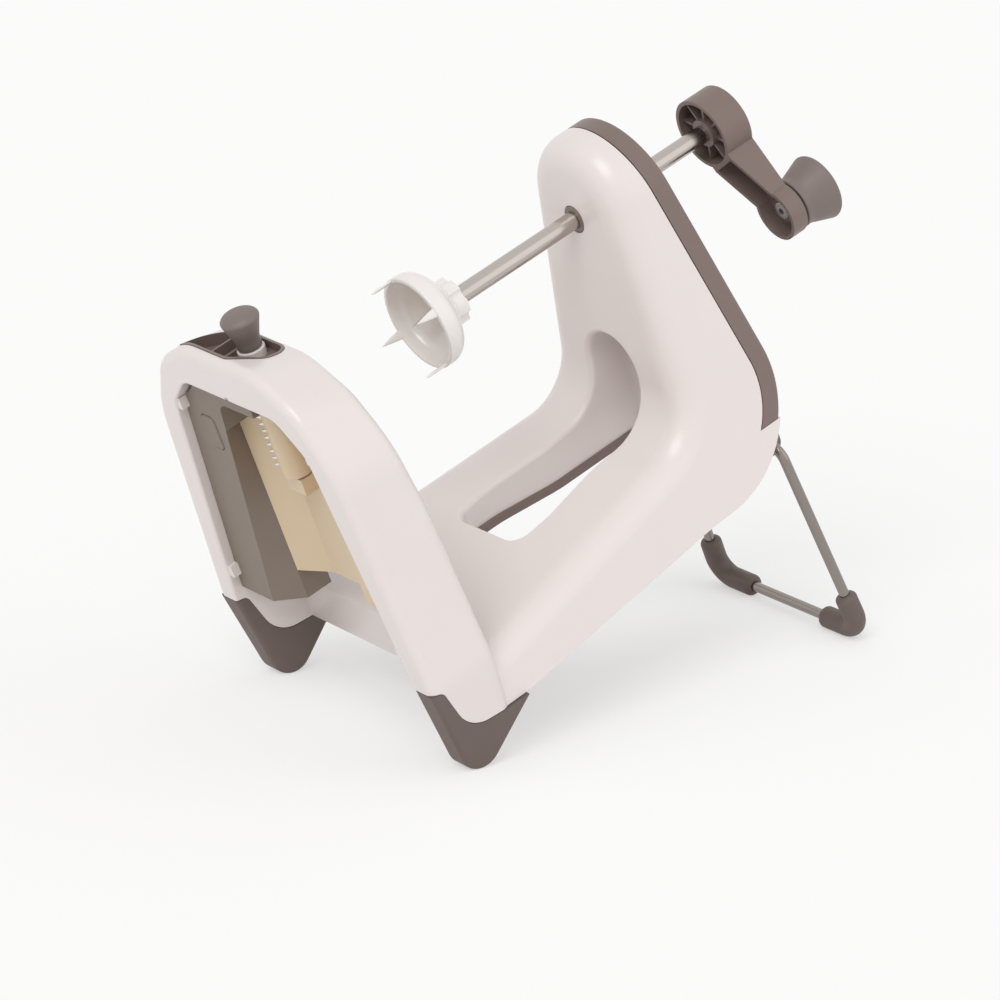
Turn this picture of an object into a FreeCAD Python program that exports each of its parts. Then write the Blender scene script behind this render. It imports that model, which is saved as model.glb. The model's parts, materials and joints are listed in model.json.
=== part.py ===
import FreeCAD, Part
import math
import os

import Sketcher

# Hand cranked spiralizer, millimetres.
#
# The machine is drawn in its own frame, with the crank shaft on the X axis: x runs from the front
# face of the blade arch towards the crank, y across, z square to the shaft.  The finished pieces are
# then leaned back by the angle that the front feet and the rear stand give, with +Z up, the floor at
# z = 0 and the origin under the middle of the bounding box.

DIMENSIONS = [
    ("shaft_radius", 5.0, "drive shaft, outside"),
    ("running_gap", 0.05, "radial clearance of everything that turns or slides in a bore"),
    ("free_gap", 0.4, "clearance between bodies that only pass each other"),
    ("arch_depth", 43.0, "blade arch, front to back"),
    ("arch_crown", 49.0, "top of the arch above the shaft axis"),
    ("arch_crown_depth", 36.5, "blade arch at its crown, front to back"),
    ("arch_crown_fall", 8.0, "fall of the crown from its front to its back"),
    ("arch_crown_half", 32.0, "half width of the flat of the crown"),
    ("arch_shoulder_half", 62.0, "half width of the arch at its shoulder"),
    ("arch_shoulder_height", 33.0, "shoulder above the shaft axis"),
    ("arch_hip_half", 81.0, "half width of the arch level with the shaft"),
    ("leg_half", 98.0, "half width outside the legs at the foot line"),
    ("leg_drop", 128.0, "foot line below the shaft axis"),
    ("leg_thickness", 16.0, "arch leg at the foot line"),
    ("window_top", 23.5, "blade window, top above the shaft axis"),
    ("window_corner_half", 42.0, "half width of the flat top of the window"),
    ("window_shoulder_half", 62.0, "half width of the window at its shoulder"),
    ("window_shoulder_height", 6.0, "window shoulder above the shaft axis"),
    ("foot_tip_drop", 196.2, "sharp corner of the foot wedge below the shaft axis"),
    ("foot_tip_back", 8.7, "sharp corner of the foot wedge behind the front face"),
    ("foot_tip_radius", 13.0, "rounding of the foot wedge"),
    ("foot_tip_half", 93.0, "half width outside the feet at the floor"),
    ("base_drop", 164.0, "underside of the base below the shaft axis"),
    ("deck_front_drop", 135.0, "deck of the base below the axis, at the arch"),
    ("deck_rear_drop", 116.3, "deck of the base below the axis, at the tower"),
    ("base_front_half", 93.9, "half width of the base underside at the arch"),
    ("base_blend", 208.0, "where the base sides turn parallel, behind the arch face"),
    ("base_blend_radius", 120.0, "rounding of that turn"),
    ("tower_front", 225.5, "front face of the tower at the shaft, behind the arch face"),
    ("tower_front_rake", 0.08, "lean of the tower's front face"),
    ("tower_rear", 266.0, "rear face of the tower at the shaft, behind the arch face"),
    ("tower_rear_rake", 0.122, "lean of the tower's rear face"),
    ("tower_crown", 42.0, "top of the tower above the shaft axis"),
    ("tower_crown_half", 32.7, "half width of the tower where its sides meet the crown line"),
    ("tower_flare", 0.176, "outward slope of the tower sides"),
    ("tower_crown_radius", 38.4, "rounding of the tower crown"),
    ("tower_foot_radius", 30.0, "hollow rounding between tower and deck"),
    ("tower_heel_radius", 60.0, "rounding of the lower rear corner"),
    ("edge_radius", 16.0, "rounding along the sides of deck and tower"),
    ("trim_depth", 12.0, "rear cover, front to back"),
    ("grip_front", 113.0, "front end of the grip slot"),
    ("grip_rear", 244.0, "rear end of the grip slot"),
    ("grip_front_half", 27.0, "half width of the grip slot at its front"),
    ("grip_rear_half", 20.5, "half width of the grip slot at its rear"),
    ("grip_crown_drop", 69.5, "top of the grip slot in the tower, below the axis"),
    ("belly_drop", 142.0, "inner face of the base floor below the axis"),
    ("cover_thickness", 5.0, "base cover"),
    ("sleeve_radius", 7.0, "bearing sleeve, outside"),
    ("sleeve_flange_radius", 7.7, "bearing sleeve, flange"),
    ("hub_front", 317.0, "blade side rim of the crank hub, behind the arch face"),
    ("hub_depth", 18.7, "crank hub along the shaft"),
    ("hub_radius", 20.3, "crank hub"),
    ("crank_throw", 57.8, "shaft to handle"),
    ("crank_angle", 34.2, "crank arm from straight down towards the near side"),
    ("crank_arm_half", 11.0, "half width of the crank arm"),
    ("handle_boss_radius", 15.0, "end boss of the crank arm"),
    ("handle_length", 21.0, "handle"),
    ("handle_end_radius", 19.5, "handle at its wide end"),
    ("cup_rim_front", 116.6, "rim of the food cup behind the arch face"),
    ("cup_radius", 27.0, "food cup at its rim"),
    ("cup_depth", 17.5, "food cup, rim to collar"),
    ("collar_radius", 13.1, "lobed collar behind the cup"),
    ("collar_length", 8.0, "lobed collar along the shaft"),
    ("prong_length", 12.5, "prong beyond the rim"),
    ("selector_axis", 23.0, "selector and blade drum axis behind the arch face"),
    ("selector_base", 43.0, "foot of the selector knob above the shaft axis"),
    ("selector_height", 19.0, "selector knob"),
    ("selector_top_radius", 10.6, "selector knob at its top"),
    ("selector_foot_radius", 6.6, "selector knob at its foot"),
    ("cartridge_front", 6.0, "front face of the cartridge behind the arch face"),
    ("cartridge_back", 34.0, "food side of the cartridge behind the arch face"),
    ("cartridge_drop", 122.0, "lower edge of the cartridge below the shaft axis"),
    ("plate_front", 18.0, "front of the blade plate at its sides"),
    ("plate_half", 34.0, "half width of the blade plate"),
    ("plate_drop", 104.0, "lower edge of the blade plate below the axis"),
    ("drum_radius", 8.0, "blade drum"),
    ("stand_pivot_back", 271.2, "stand pivot behind the arch face"),
    ("stand_pivot_drop", 160.0, "stand pivot below the shaft axis"),
    ("stand_length", 124.4, "stand, pivot to foot bar"),
    ("stand_lean", 3.5, "stand from square to the shaft, when open"),
    ("stand_top_half", 50.6, "half width of the stand at its pivot"),
    ("stand_foot_half", 61.0, "half width of the stand at its foot bar"),
    ("wire_radius", 2.9, "stand wire"),
    ("stand_foot_radius", 6.2, "rubber sleeve on the stand"),
]

doc = FreeCAD.newDocument("Spiralizer")
sheet = doc.addObject("Spreadsheet::Sheet", "Dims")
sheet.Label = "Driving dimensions"


class Size:
    """A length known both as a number and as an expression on the sheet."""

    def __init__(self, text, value):
        self.text = text
        self.value = value

    def join(self, other, sign, result):
        return Size(f"({self.text} {sign} {size(other).text})", result)

    def __add__(self, other):
        return self.join(other, "+", self.value + size(other).value)

    def __sub__(self, other):
        return self.join(other, "-", self.value - size(other).value)

    def __mul__(self, other):
        return self.join(other, "*", self.value * size(other).value)

    def __truediv__(self, other):
        return self.join(other, "/", self.value / size(other).value)

    def __radd__(self, other):
        return size(other) + self

    def __rsub__(self, other):
        return size(other) - self

    def __rmul__(self, other):
        return size(other) * self

    def __neg__(self):
        return Size(f"(0 - {self.text})", -self.value)


def size(number):
    """Wrap a plain number, so that it joins in the sums."""
    return number if isinstance(number, Size) else Size(repr(float(number)), float(number))


def root(number):
    """Square root of a size."""
    return Size(f"sqrt({number.text})", math.sqrt(number.value))


class Sizes:
    """The driving dimensions, one attribute per cell of the sheet."""


D = Sizes()
for row, (alias, value, note) in enumerate(DIMENSIONS, start=1):
    sheet.set(f"A{row}", alias)
    sheet.set(f"B{row}", str(value))
    sheet.set(f"C{row}", note)
    sheet.setAlias(f"B{row}", alias)
    setattr(D, alias, Size(f"Dims.{alias}", value))
doc.recompute()


# ---------------------------------------------------------------- building helpers

def new_body(name):
    return doc.addObject("PartDesign::Body", name)


def new_sketch(body, plane, name, offset):
    """A sketch on one of the body's own origin planes, moved along the plane's normal."""
    sketch = body.newObject("Sketcher::SketchObject", name)
    support = [item for item in body.Origin.OriginFeatures if item.Role == f"{plane}_Plane"][0]
    sketch.AttachmentSupport = (support, [""])
    sketch.MapMode = "FlatFace"
    sketch.setExpression(".AttachmentOffset.Base.z", size(offset).text)
    return sketch


def drive(sketch, constraint, value):
    """Add a dimension to the sketch and bind it to the sheet."""
    index = sketch.addConstraint(constraint)
    sketch.setExpression(f"Constraints[{index}]", size(value).text)


def pin_point(sketch, item, end, x, y):
    """Give a point both its distances from the sketch's origin."""
    x, y = size(x), size(y)
    drive(sketch, Sketcher.Constraint("DistanceX", item, end, x.value), x)
    drive(sketch, Sketcher.Constraint("DistanceY", item, end, y.value), y)


def corner_centre(before, corner, after, radius):
    """Centre of the arc of a given radius that rounds a corner."""
    to_last = (before - corner).normalize()
    to_next = (after - corner).normalize()
    half = to_last.getAngle(to_next) / 2
    return corner + (to_last + to_next).normalize() * (radius / math.sin(half))


def corner_arc(centre, first, second, radius):
    """The short arc between two points, counter-clockwise as a sketch keeps it."""
    angles = [math.atan2(p.y - centre.y, p.x - centre.x) for p in (first, second)]
    sweep = (angles[1] - angles[0]) % (2 * math.pi)
    start = angles[0] if sweep < math.pi else angles[1]
    sweep = min(sweep, 2 * math.pi - sweep)
    circle = Part.Circle(centre, FreeCAD.Vector(0, 0, 1), radius)
    return Part.ArcOfCircle(circle, start, start + sweep)


def draw_outline(sketch, corners):
    """A closed outline of straight sides; a corner with a radius becomes an arc tangent to its sides."""
    count = len(corners)
    points = [FreeCAD.Vector(size(c[0]).value, size(c[1]).value, 0) for c in corners]
    radii = [size(c[2]).value if len(c) > 2 else 0.0 for c in corners]
    starts, ends, arcs = [], [], {}
    for i, point in enumerate(points):
        to_last = (points[i - 1] - point).normalize()
        to_next = (points[(i + 1) % count] - point).normalize()
        half = to_last.getAngle(to_next) / 2
        reach = radii[i] / math.tan(half)
        ends.append(point + to_last * reach)
        starts.append(point + to_next * reach)
        if radii[i]:
            bisector = (to_last + to_next).normalize()
            centre = point + bisector * (radii[i] / math.sin(half))
            arcs[i] = corner_arc(centre, ends[i], starts[i], radii[i])
    lines = [
        sketch.addGeometry(Part.LineSegment(starts[i], ends[(i + 1) % count]), False)
        for i in range(count)
    ]
    for i, corner in enumerate(corners):
        before, after = lines[i - 1], lines[i]
        if i not in arcs:
            sketch.addConstraint(Sketcher.Constraint("Coincident", before, 2, after, 1))
            pin_point(sketch, after, 1, corner[0], corner[1])
            continue
        arc = sketch.addGeometry(arcs[i], False)
        turn = points[i - 1].sub(points[i]).cross(points[(i + 1) % count].sub(points[i])).z
        arc_from, arc_to = (1, 2) if turn < 0 else (2, 1)
        sketch.addConstraint(Sketcher.Constraint("Tangent", before, 2, arc, arc_from))
        sketch.addConstraint(Sketcher.Constraint("Tangent", after, 1, arc, arc_to))
        drive(sketch, Sketcher.Constraint("Radius", arc, radii[i]), corner[2])
        apex = sketch.addGeometry(Part.Point(points[i]), True)
        pin_point(sketch, apex, 1, corner[0], corner[1])
        sketch.addConstraint(Sketcher.Constraint("PointOnObject", apex, 1, before))
        sketch.addConstraint(Sketcher.Constraint("PointOnObject", apex, 1, after))


def draw_circle(sketch, x, y, radius):
    """A circle with its centre and radius bound to the sheet."""
    x, y, radius = size(x), size(y), size(radius)
    centre = FreeCAD.Vector(x.value, y.value, 0)
    ring = sketch.addGeometry(Part.Circle(centre, FreeCAD.Vector(0, 0, 1), radius.value), False)
    drive(sketch, Sketcher.Constraint("Radius", ring, radius.value), radius)
    pin_point(sketch, ring, 3, x, y)


def both_sides(corners):
    """An outline symmetric about the sketch's vertical axis, from the corners of its right half."""
    mirrored = [(-size(c[0]),) + tuple(c[1:]) for c in reversed(corners)]
    return list(corners) + mirrored


def extrude(body, name, plane, low, high, corners=None, circles=(), cut=False):
    """Pad or pocket between two levels along the axis that the plane is square to."""
    low, high = size(low), size(high)
    if plane == "XZ":
        offset = -low if cut else -high
    else:
        offset = high if cut else low
    sketch = new_sketch(body, plane, f"{name}Sketch", offset)
    if corners:
        draw_outline(sketch, corners)
    for x, y, radius in circles:
        draw_circle(sketch, x, y, radius)
    feature = body.newObject("PartDesign::Pocket" if cut else "PartDesign::Pad", name)
    feature.Profile = sketch
    feature.setExpression("Length", (high - low).text)
    sketch.Visibility = False
    return feature


def revolve(body, name, corners, axis="H_Axis", cut=False):
    """Turn a half section about the body's X axis (H_Axis) or Z axis (V_Axis)."""
    sketch = new_sketch(body, "XZ", f"{name}Sketch", 0)
    draw_outline(sketch, corners)
    feature = body.newObject("PartDesign::Groove" if cut else "PartDesign::Revolution", name)
    feature.Profile = sketch
    feature.ReferenceAxis = (sketch, [axis])
    feature.Angle = 360
    sketch.Visibility = False
    return feature


def edges_where(shape, test):
    """Names of the edges whose middle point passes the test."""
    names = []
    for index, edge in enumerate(shape.Edges, start=1):
        middle = edge.valueAt((edge.FirstParameter + edge.LastParameter) / 2)
        if test(edge, middle):
            names.append(f"Edge{index}")
    return names


def dress(body, name, radius, test, kind="PartDesign::Fillet"):
    """Round or bevel the edges of the body's tip that pass the test."""
    doc.recompute()
    base = body.Tip
    feature = body.newObject(kind, name)
    feature.Base = (base, edges_where(base.Shape, test))
    feature.setExpression("Radius" if kind.endswith("Fillet") else "Size", size(radius).text)
    return feature


# ---------------------------------------------------------------- housing

WIDE = 130.0
LOW = -230.0
HIGH = 80.0

tower_foot_half = D.tower_crown_half + D.tower_flare * (D.tower_crown + D.base_drop)
axis_half = D.tower_crown_half + D.tower_flare * D.tower_crown
base_start = D.arch_depth - 5
base_taper = (D.base_front_half - tower_foot_half) / (D.base_blend - D.arch_depth)
block_rear = D.tower_rear + 32


def tower_front_at(z):
    return D.tower_front + D.tower_front_rake * z


def tower_rear_at(z):
    return D.tower_rear - D.tower_rear_rake * z


def base_plan(inset):
    """Plan of the base and tower, narrower by the inset all round the sides."""
    front_half = D.base_front_half + base_taper * (D.arch_depth - base_start) - inset
    rear_half = tower_foot_half - inset
    right = [
        (base_start, -front_half),
        (D.base_blend, -rear_half, D.base_blend_radius),
        (block_rear, -rear_half),
    ]
    return right + [(c[0], -c[1]) + tuple(c[2:]) for c in reversed(right)]


def loft(body, name, levels, plane="XY"):
    """A ruled body between outlines at several levels along the plane's axis: (level, corners) each."""
    sketches = []
    for number, (level, corners) in enumerate(levels):
        sketch = new_sketch(body, plane, f"{name}Level{number}", level)
        draw_outline(sketch, corners)
        sketch.Visibility = False
        sketches.append(sketch)
    feature = body.newObject("PartDesign::AdditiveLoft", name)
    feature.Profile = sketches[0]
    feature.Sections = [(item, [""]) for item in sketches[1:]]
    feature.Ruled = True
    return feature


deck_slope = (D.deck_front_drop - D.deck_rear_drop) / (D.tower_front - D.arch_depth)
rear_low_x = tower_rear_at(-D.base_drop)

block = new_body("BaseAndTower")
loft(block, "Flanks", [(-D.base_drop, base_plan(0)), (0, base_plan(D.tower_flare * D.base_drop))])
extrude(block, "Crown", "YZ", D.tower_front - 25, block_rear, both_sides([
    (axis_half, 0),
    (D.tower_crown_half, D.tower_crown, D.tower_crown_radius),
]))
extrude(block, "AboveDeck", "XZ", -WIDE, WIDE, [
    (base_start - 10, -D.deck_front_drop - deck_slope * (D.arch_depth - base_start + 10)),
    (tower_front_at(-D.deck_rear_drop), -D.deck_rear_drop, D.tower_foot_radius),
    (tower_front_at(HIGH), HIGH),
    (base_start - 10, HIGH),
], cut=True)
extrude(block, "BehindHeel", "XZ", -WIDE, WIDE, [
    (tower_rear_at(HIGH), HIGH),
    (rear_low_x, -D.base_drop, D.tower_heel_radius),
    (base_start + 30, -D.base_drop),
    (base_start + 30, LOW),
    (block_rear + 20, LOW),
    (block_rear + 20, HIGH),
], cut=True)


hollow_x = tower_front_at(-D.deck_rear_drop)
hollow_reach = D.tower_foot_radius * 0.6


def along_flank(edge, middle):
    """Edges between the flanks and the deck, the tower's front face or the hollow between the two."""
    front_line = tower_front_at(size(middle.z)).value
    deck_line = -D.deck_front_drop.value + deck_slope.value * (middle.x - D.arch_depth.value)
    above_corner = middle.z + D.deck_rear_drop.value
    before_corner = hollow_x.value - middle.x
    on_front = abs(middle.x - front_line) < 1.0 and above_corner > hollow_reach.value
    on_deck = abs(middle.z - deck_line) < 1.0 and before_corner > 0
    in_hollow = math.hypot(above_corner, before_corner) < D.tower_foot_radius.value
    return (on_front or on_deck or in_hollow) and abs(middle.y) > 15


dress(block, "FlankRounding", D.edge_radius, along_flank)

grip_narrowing = D.grip_front + 23
grip_straight = D.grip_front + 60
grip_plan = [
    (D.grip_front, -D.grip_front_half, 9),
    (grip_narrowing, -D.grip_front_half, 50),
    (grip_straight, -D.grip_rear_half, 70),
    (D.grip_rear, -D.grip_rear_half, 5),
    (D.grip_rear, D.grip_rear_half, 5),
    (grip_straight, D.grip_rear_half, 70),
    (grip_narrowing, D.grip_front_half, 50),
    (D.grip_front, D.grip_front_half, 9),
]
grip_roof = -D.grip_crown_drop - D.grip_rear_half
extrude(block, "GripSlot", "XY", LOW, grip_roof, grip_plan, cut=True)
extrude(block, "GripRoof", "YZ", grip_straight + 8, D.grip_rear, circles=[(0, grip_roof, D.grip_rear_half)],
        cut=True)


def around_grip(edge, middle):
    """The rim of the grip slot on the deck and on the tower's front face."""
    beside = abs(middle.y) < D.grip_front_half.value + 1
    along = D.grip_front.value - 1 < middle.x < tower_front_at(size(middle.z)).value + 1
    return beside and along and -D.deck_front_drop.value - 5 < middle.z < -D.grip_crown_drop.value + 5


dress(block, "GripRounding", 3, around_grip)

# the pan under the base, for the base cover and the folded stand
belly_front = D.arch_depth + 9
belly_rear = D.grip_rear + 7


def belly_plan(inset):
    """Plan of the pan, narrower by the inset."""
    front = D.base_front_half + base_taper * 9 - 8 - inset
    rear = tower_foot_half - 8 - inset
    right = [(belly_front + inset, -front, 6), (D.base_blend, -rear, D.base_blend_radius),
             (belly_rear - inset, -rear, 6)]
    return right + [(c[0], -c[1]) + tuple(c[2:]) for c in reversed(right)]


extrude(block, "Pan", "XY", LOW, -D.belly_drop, belly_plan(0), cut=True)

# seat of the rear cover: the whole rear face down to the heel
band_end = -D.base_drop + 29

rear_inner_x = tower_rear_at(-D.base_drop + D.trim_depth) - D.trim_depth
rear_seat = new_body("RearSeat")
extrude(rear_seat, "RearSeatBlock", "XZ", -WIDE, WIDE, [
    (tower_rear_at(HIGH) - D.trim_depth, HIGH),
    (rear_inner_x, -D.base_drop + D.trim_depth, D.tower_heel_radius - D.trim_depth),
    (D.tower_rear - 60, -D.base_drop + D.trim_depth),
    (D.tower_rear - 60, LOW),
    (block_rear + 20, LOW),
    (block_rear + 20, HIGH),
])
extrude(rear_seat, "RearSeatEnd", "XY", LOW - 10, band_end, [
    (0, -WIDE - 10),
    (block_rear + 40, -WIDE - 10),
    (block_rear + 40, WIDE + 10),
    (0, WIDE + 10),
], cut=True)

# blade arch
foot_edge = [
    (-10, -D.leg_drop + 1),
    (7, -D.leg_drop - 2, 5),
    (15, -D.base_drop + 4, 18),
    (D.arch_depth + 15, -D.base_drop),
]
window_low_half = D.leg_half - D.leg_thickness
window_taper = D.leg_half - D.foot_tip_half + 1
knee_radius = 40
lean_start = 40.0
back_slope = (D.arch_depth - D.arch_crown_depth) / (D.arch_crown + lean_start)


def arch_outline(fall):
    """Outline of the arch, seen along the shaft; the fall lowers its crown and shoulders."""
    return both_sides([
        (D.foot_tip_half - 2, LOW),
        (D.leg_half, -D.leg_drop, knee_radius),
        (D.arch_hip_half, 0, 60),
        (D.arch_shoulder_half, D.arch_shoulder_height - fall, 35),
        (D.arch_crown_half, D.arch_crown - fall, 40),
    ])


def arch_back_at(z):
    """Back face of the arch, which leans forward towards the crown."""
    return D.arch_crown_depth + back_slope * (D.arch_crown - z)


def arch_loft(body, name, above):
    """The arch between its front and back outlines, raised by a little."""
    fall_at_back = D.arch_crown_fall * (D.arch_depth / D.arch_crown_depth)
    loft(body, name, [
        (0, arch_outline(-above)),
        (D.arch_depth, arch_outline(fall_at_back - above)),
    ], plane="YZ")


def on_arch_back(middle):
    """Whether a point lies on the back face of the arch."""
    back = min(arch_back_at(size(middle.z)).value, D.arch_depth.value)
    return abs(middle.x - back) < 0.3 and middle.z > LOW + 5


def in_window(middle):
    """Whether a point lies on the rim of the blade window, and not on the outside of the legs."""
    below_foot_line = max(-D.leg_drop.value - middle.z, 0)
    taper = window_taper.value * below_foot_line / (-D.leg_drop.value - LOW + 5)
    half = min(window_half_at(size(middle.z)).value, window_low_half.value - taper)
    return LOW + 5 < middle.z < D.window_top.value + 1 and abs(middle.y) < half + 1


def window_half_at(z):
    """Half width of the blade window on its straight flank."""
    top_half = D.window_shoulder_half - 1.5
    slope = (window_low_half - top_half) / (D.window_shoulder_height + D.leg_drop)
    return top_half + slope * (D.window_shoulder_height - z)


arch = new_body("BladeArch")
arch_loft(arch, "ArchOutline", size(0))
extrude(arch, "ArchLean", "XZ", -WIDE, WIDE, [
    (arch_back_at(HIGH), HIGH),
    (arch_back_at(-lean_start - 20), -lean_start - 20),
    (D.arch_depth + 20, -lean_start - 20),
    (D.arch_depth + 20, HIGH),
], cut=True)
dress(arch, "ArchBackRounding", 7, lambda e, m: on_arch_back(m) and (m.z > 10 or abs(m.y) > 20))
dress(arch, "ArchFrontRounding", 5, lambda e, m: m.x < 0.1 and m.z > LOW + 5)
extrude(arch, "Window", "YZ", -10, D.arch_depth + 10, both_sides([
    (window_low_half - window_taper, LOW - 5),
    (window_low_half, -D.leg_drop, knee_radius),
    (D.window_shoulder_half - 1.5, D.window_shoulder_height, 13),
    (D.window_corner_half, D.window_top, 16),
]), cut=True)
dress(arch, "WindowFrontRounding", 1.5, lambda e, m: m.x < 0.1 and in_window(m))
dress(arch, "WindowBackRounding", 3, lambda e, m: on_arch_back(m) and in_window(m))
foot_seat = new_body("FootSeat")
extrude(foot_seat, "FootLine", "XZ", -WIDE, WIDE,
        foot_edge + [(D.arch_depth + 15, LOW - 10), (-10, LOW - 10)])

# tray in the crown, round the selector and towards the far side, with the bore of the selector
tray_floor = D.arch_crown - 13.5
tray_front = 4.6
tray_rear = 33.3
tray_far = 40.5


def tray_cut(body, name, inset, low, high, cut=False):
    """Plan of the tray, narrower by the inset."""
    extrude(body, name, "XY", low, high, [
        (tray_front + inset, -6 + inset, 6),
        (tray_front + inset, tray_far - inset, 2.4 - inset),
        (11.5, tray_far - inset, 2.4 - inset),
        (tray_rear - inset, 17, 28 - inset),
        (tray_rear - inset, -23 + inset, 10 - inset),
        (18, -23.5 + inset, 8 - inset),
    ], cut=cut)


def box(body, name, x, y, z, cut=False):
    """A block between two levels on each axis."""
    corners = [(x[0], y[0]), (x[1], y[0]), (x[1], y[1]), (x[0], y[1])]
    return extrude(body, name, "XY", z[0], z[1], corners, cut=cut)


def fuse(name, pieces):
    """One solid out of several overlapping ones."""
    result = doc.addObject("Part::MultiFuse", name)
    result.Shapes = pieces
    return result


def cut_away(name, base, tool):
    result = doc.addObject("Part::Cut", name)
    result.Base = base
    result.Tool = tool
    return result


def side_lug(name, y_low, y_high):
    """Lug of the stand: a block let into the heel, with an eye for the wire."""
    lug = new_body(name)
    pivot_x, pivot_z = D.stand_pivot_back, -D.stand_pivot_drop
    lug_top = band_end - 3
    extrude(lug, f"{name}Plate", "XZ", y_low, y_high, [
        (pivot_x - 18, lug_top),
        (pivot_x - 11, lug_top),
        (pivot_x + 8, pivot_z + 9, 4),
        (pivot_x + 8, pivot_z - 8, 7),
        (pivot_x - 8, pivot_z - 8, 7),
        (pivot_x - 18, pivot_z + 6, 4),
    ])
    extrude(lug, f"{name}Eye", "XZ", y_low, y_high,
            circles=[(pivot_x, pivot_z, D.wire_radius + D.running_gap)], cut=True)
    return lug


lug_inner = D.stand_top_half - 20.6
lug_outer = D.stand_top_half - 8.6
bracket_near = side_lug("BracketNear", -lug_outer, -lug_inner)
bracket_far = side_lug("BracketFar", lug_inner, lug_outer)

# guide rails for the cartridge on the inside of the legs
rail_levels = [(1.0, 8.0), (-112.0, -105.0)]


rails = []
for level, (low, high) in enumerate(rail_levels):
    wall = window_half_at((low + high) / 2)
    for side in (-1, 1):
        rail = new_body(f"Rail{level}{'Far' if side > 0 else 'Near'}")
        edges = sorted([(wall - 3.5) * side, (wall + 3) * side], key=lambda item: item.value)
        box(rail, f"{rail.Name}Block", (1.5, D.arch_crown_depth - 2), edges, (low, high))
        rails.append(rail)

shell = fuse("HousingShell", [block, arch] + rails)

cuts = new_body("HousingCuts")
extrude(cuts, "ShaftBore", "YZ", D.tower_front - 6, block_rear,
        circles=[(0, 0, D.sleeve_radius + D.running_gap)])
extrude(cuts, "FlangeSeat", "YZ", D.tower_front - 8, D.tower_front + 2,
        circles=[(0, 0, D.sleeve_flange_radius + 0.3)])
tray_well = new_body("TrayWell")
tray_cut(tray_well, "TrayWell", 0, tray_floor, HIGH)
extrude(tray_well, "SelectorBore", "XY", 0, tray_floor + 5, circles=[(D.selector_axis, 0, 4 + D.running_gap)])
box(tray_well, "TongueGroove", (-5, D.selector_axis), (-1.6, 1.6), (15, D.window_top + 2.5))

# rear cover
seat_gap = 0.7
cover = new_body("RearCover")
extrude(cover, "CoverOutline", "YZ", D.tower_rear - 20, block_rear, both_sides([
    (tower_foot_half, -D.base_drop),
    (D.tower_crown_half, D.tower_crown, D.tower_crown_radius),
]))
extrude(cover, "CoverFront", "XZ", -WIDE, WIDE, [
    (tower_rear_at(HIGH) - D.trim_depth + seat_gap, HIGH),
    (rear_inner_x + seat_gap, -D.base_drop + D.trim_depth - seat_gap,
     D.tower_heel_radius - D.trim_depth + seat_gap),
    (D.tower_rear - 60, -D.base_drop + D.trim_depth - seat_gap),
    (D.tower_rear - 60, HIGH),
], cut=True)
extrude(cover, "CoverRear", "XZ", -WIDE, WIDE, [
    (tower_rear_at(HIGH), HIGH),
    (rear_low_x, -D.base_drop, D.tower_heel_radius),
    (base_start + 30, -D.base_drop),
    (base_start + 30, LOW),
    (block_rear + 20, LOW),
    (block_rear + 20, HIGH),
], cut=True)
extrude(cover, "CoverEnd", "XY", LOW, band_end + seat_gap, [
    (D.tower_rear - 60, -WIDE),
    (block_rear + 20, -WIDE),
    (block_rear + 20, WIDE),
    (D.tower_rear - 60, WIDE),
], cut=True)


def cover_rim(edge, middle):
    """The outline of the cover on its rear face."""
    return middle.x > tower_rear_at(size(middle.z)).value - 6 and edge.Length > 3 and (
        abs(middle.y) > 5 or middle.z > 40) and middle.z > -130


dress(cover, "CoverRounding", 2.5, lambda e, m: cover_rim(e, m) and not (
    m.x < tower_rear_at(size(m.z)).value - 5))
extrude(cover, "CoverBore", "YZ", D.tower_rear - 20, block_rear, circles=[(0, 0, D.sleeve_radius + 0.4)],
        cut=True)



def hexagon(x, y, radius):
    """Corners of a regular hexagon."""
    turns = [math.radians(60 * k) for k in range(6)]
    return [(x + radius * math.cos(turn), y + radius * math.sin(turn)) for turn in turns]


def screws(name, plane, head_level, places, towards, head_radius=3.0, head=2.2, shank=11.0, shank_radius=1.5,
           socket_depth=1.3, socket_radius=1.25):
    """Socket head screws whose heads end at one level; towards is the side that the shanks point to."""
    body = new_body(name)
    body.AllowCompound = True
    inner = head_level + towards * head
    tip = inner + towards * shank
    bottom = head_level + towards * socket_depth
    spans = [sorted([head_level, inner], key=lambda item: item.value),
             sorted([inner, tip], key=lambda item: item.value)]
    extrude(body, f"{name}Heads", plane, spans[0][0], spans[0][1],
            circles=[(a, b, head_radius) for a, b in places])
    extrude(body, f"{name}Shanks", plane, spans[1][0], spans[1][1],
            circles=[(a, b, shank_radius) for a, b in places])
    socket = sorted([head_level - towards, bottom], key=lambda item: item.value)
    for number, (a, b) in enumerate(places):
        corners = hexagon(a, b, socket_radius)
        extrude(body, f"{name}Socket{number}", plane, socket[0], socket[1], corners, cut=True)
    return body


def wells(name, plane, low, high, places, radius):
    """Round wells over a set of screws."""
    body = new_body(name)
    body.AllowCompound = True
    extrude(body, f"{name}Circles", plane, low, high, circles=[(a, b, radius) for a, b in places])
    return body


high_places = [(-20, 14), (20, 14)]
low_places = [(-38, -96), (38, -96)]
high_head = tower_rear_at(14) - 2.5
low_head = tower_rear_at(-96) - 2.5
high_screws = screws("HighRearScrews", "YZ", high_head, high_places, -1)
low_screws = screws("LowRearScrews", "YZ", low_head, low_places, -1)
rear_screws = fuse("RearScrews", [high_screws, low_screws])
rear_wells = fuse("RearWells", [
    wells("HighWells", "YZ", high_head - 2.2, block_rear, high_places, 3.3),
    wells("LowWells", "YZ", low_head - 2.2, block_rear, low_places, 3.3),
])
rear_cover = cut_away("RearCoverDrilled", cut_away("RearCoverWells", cover, rear_wells), rear_screws)

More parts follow.
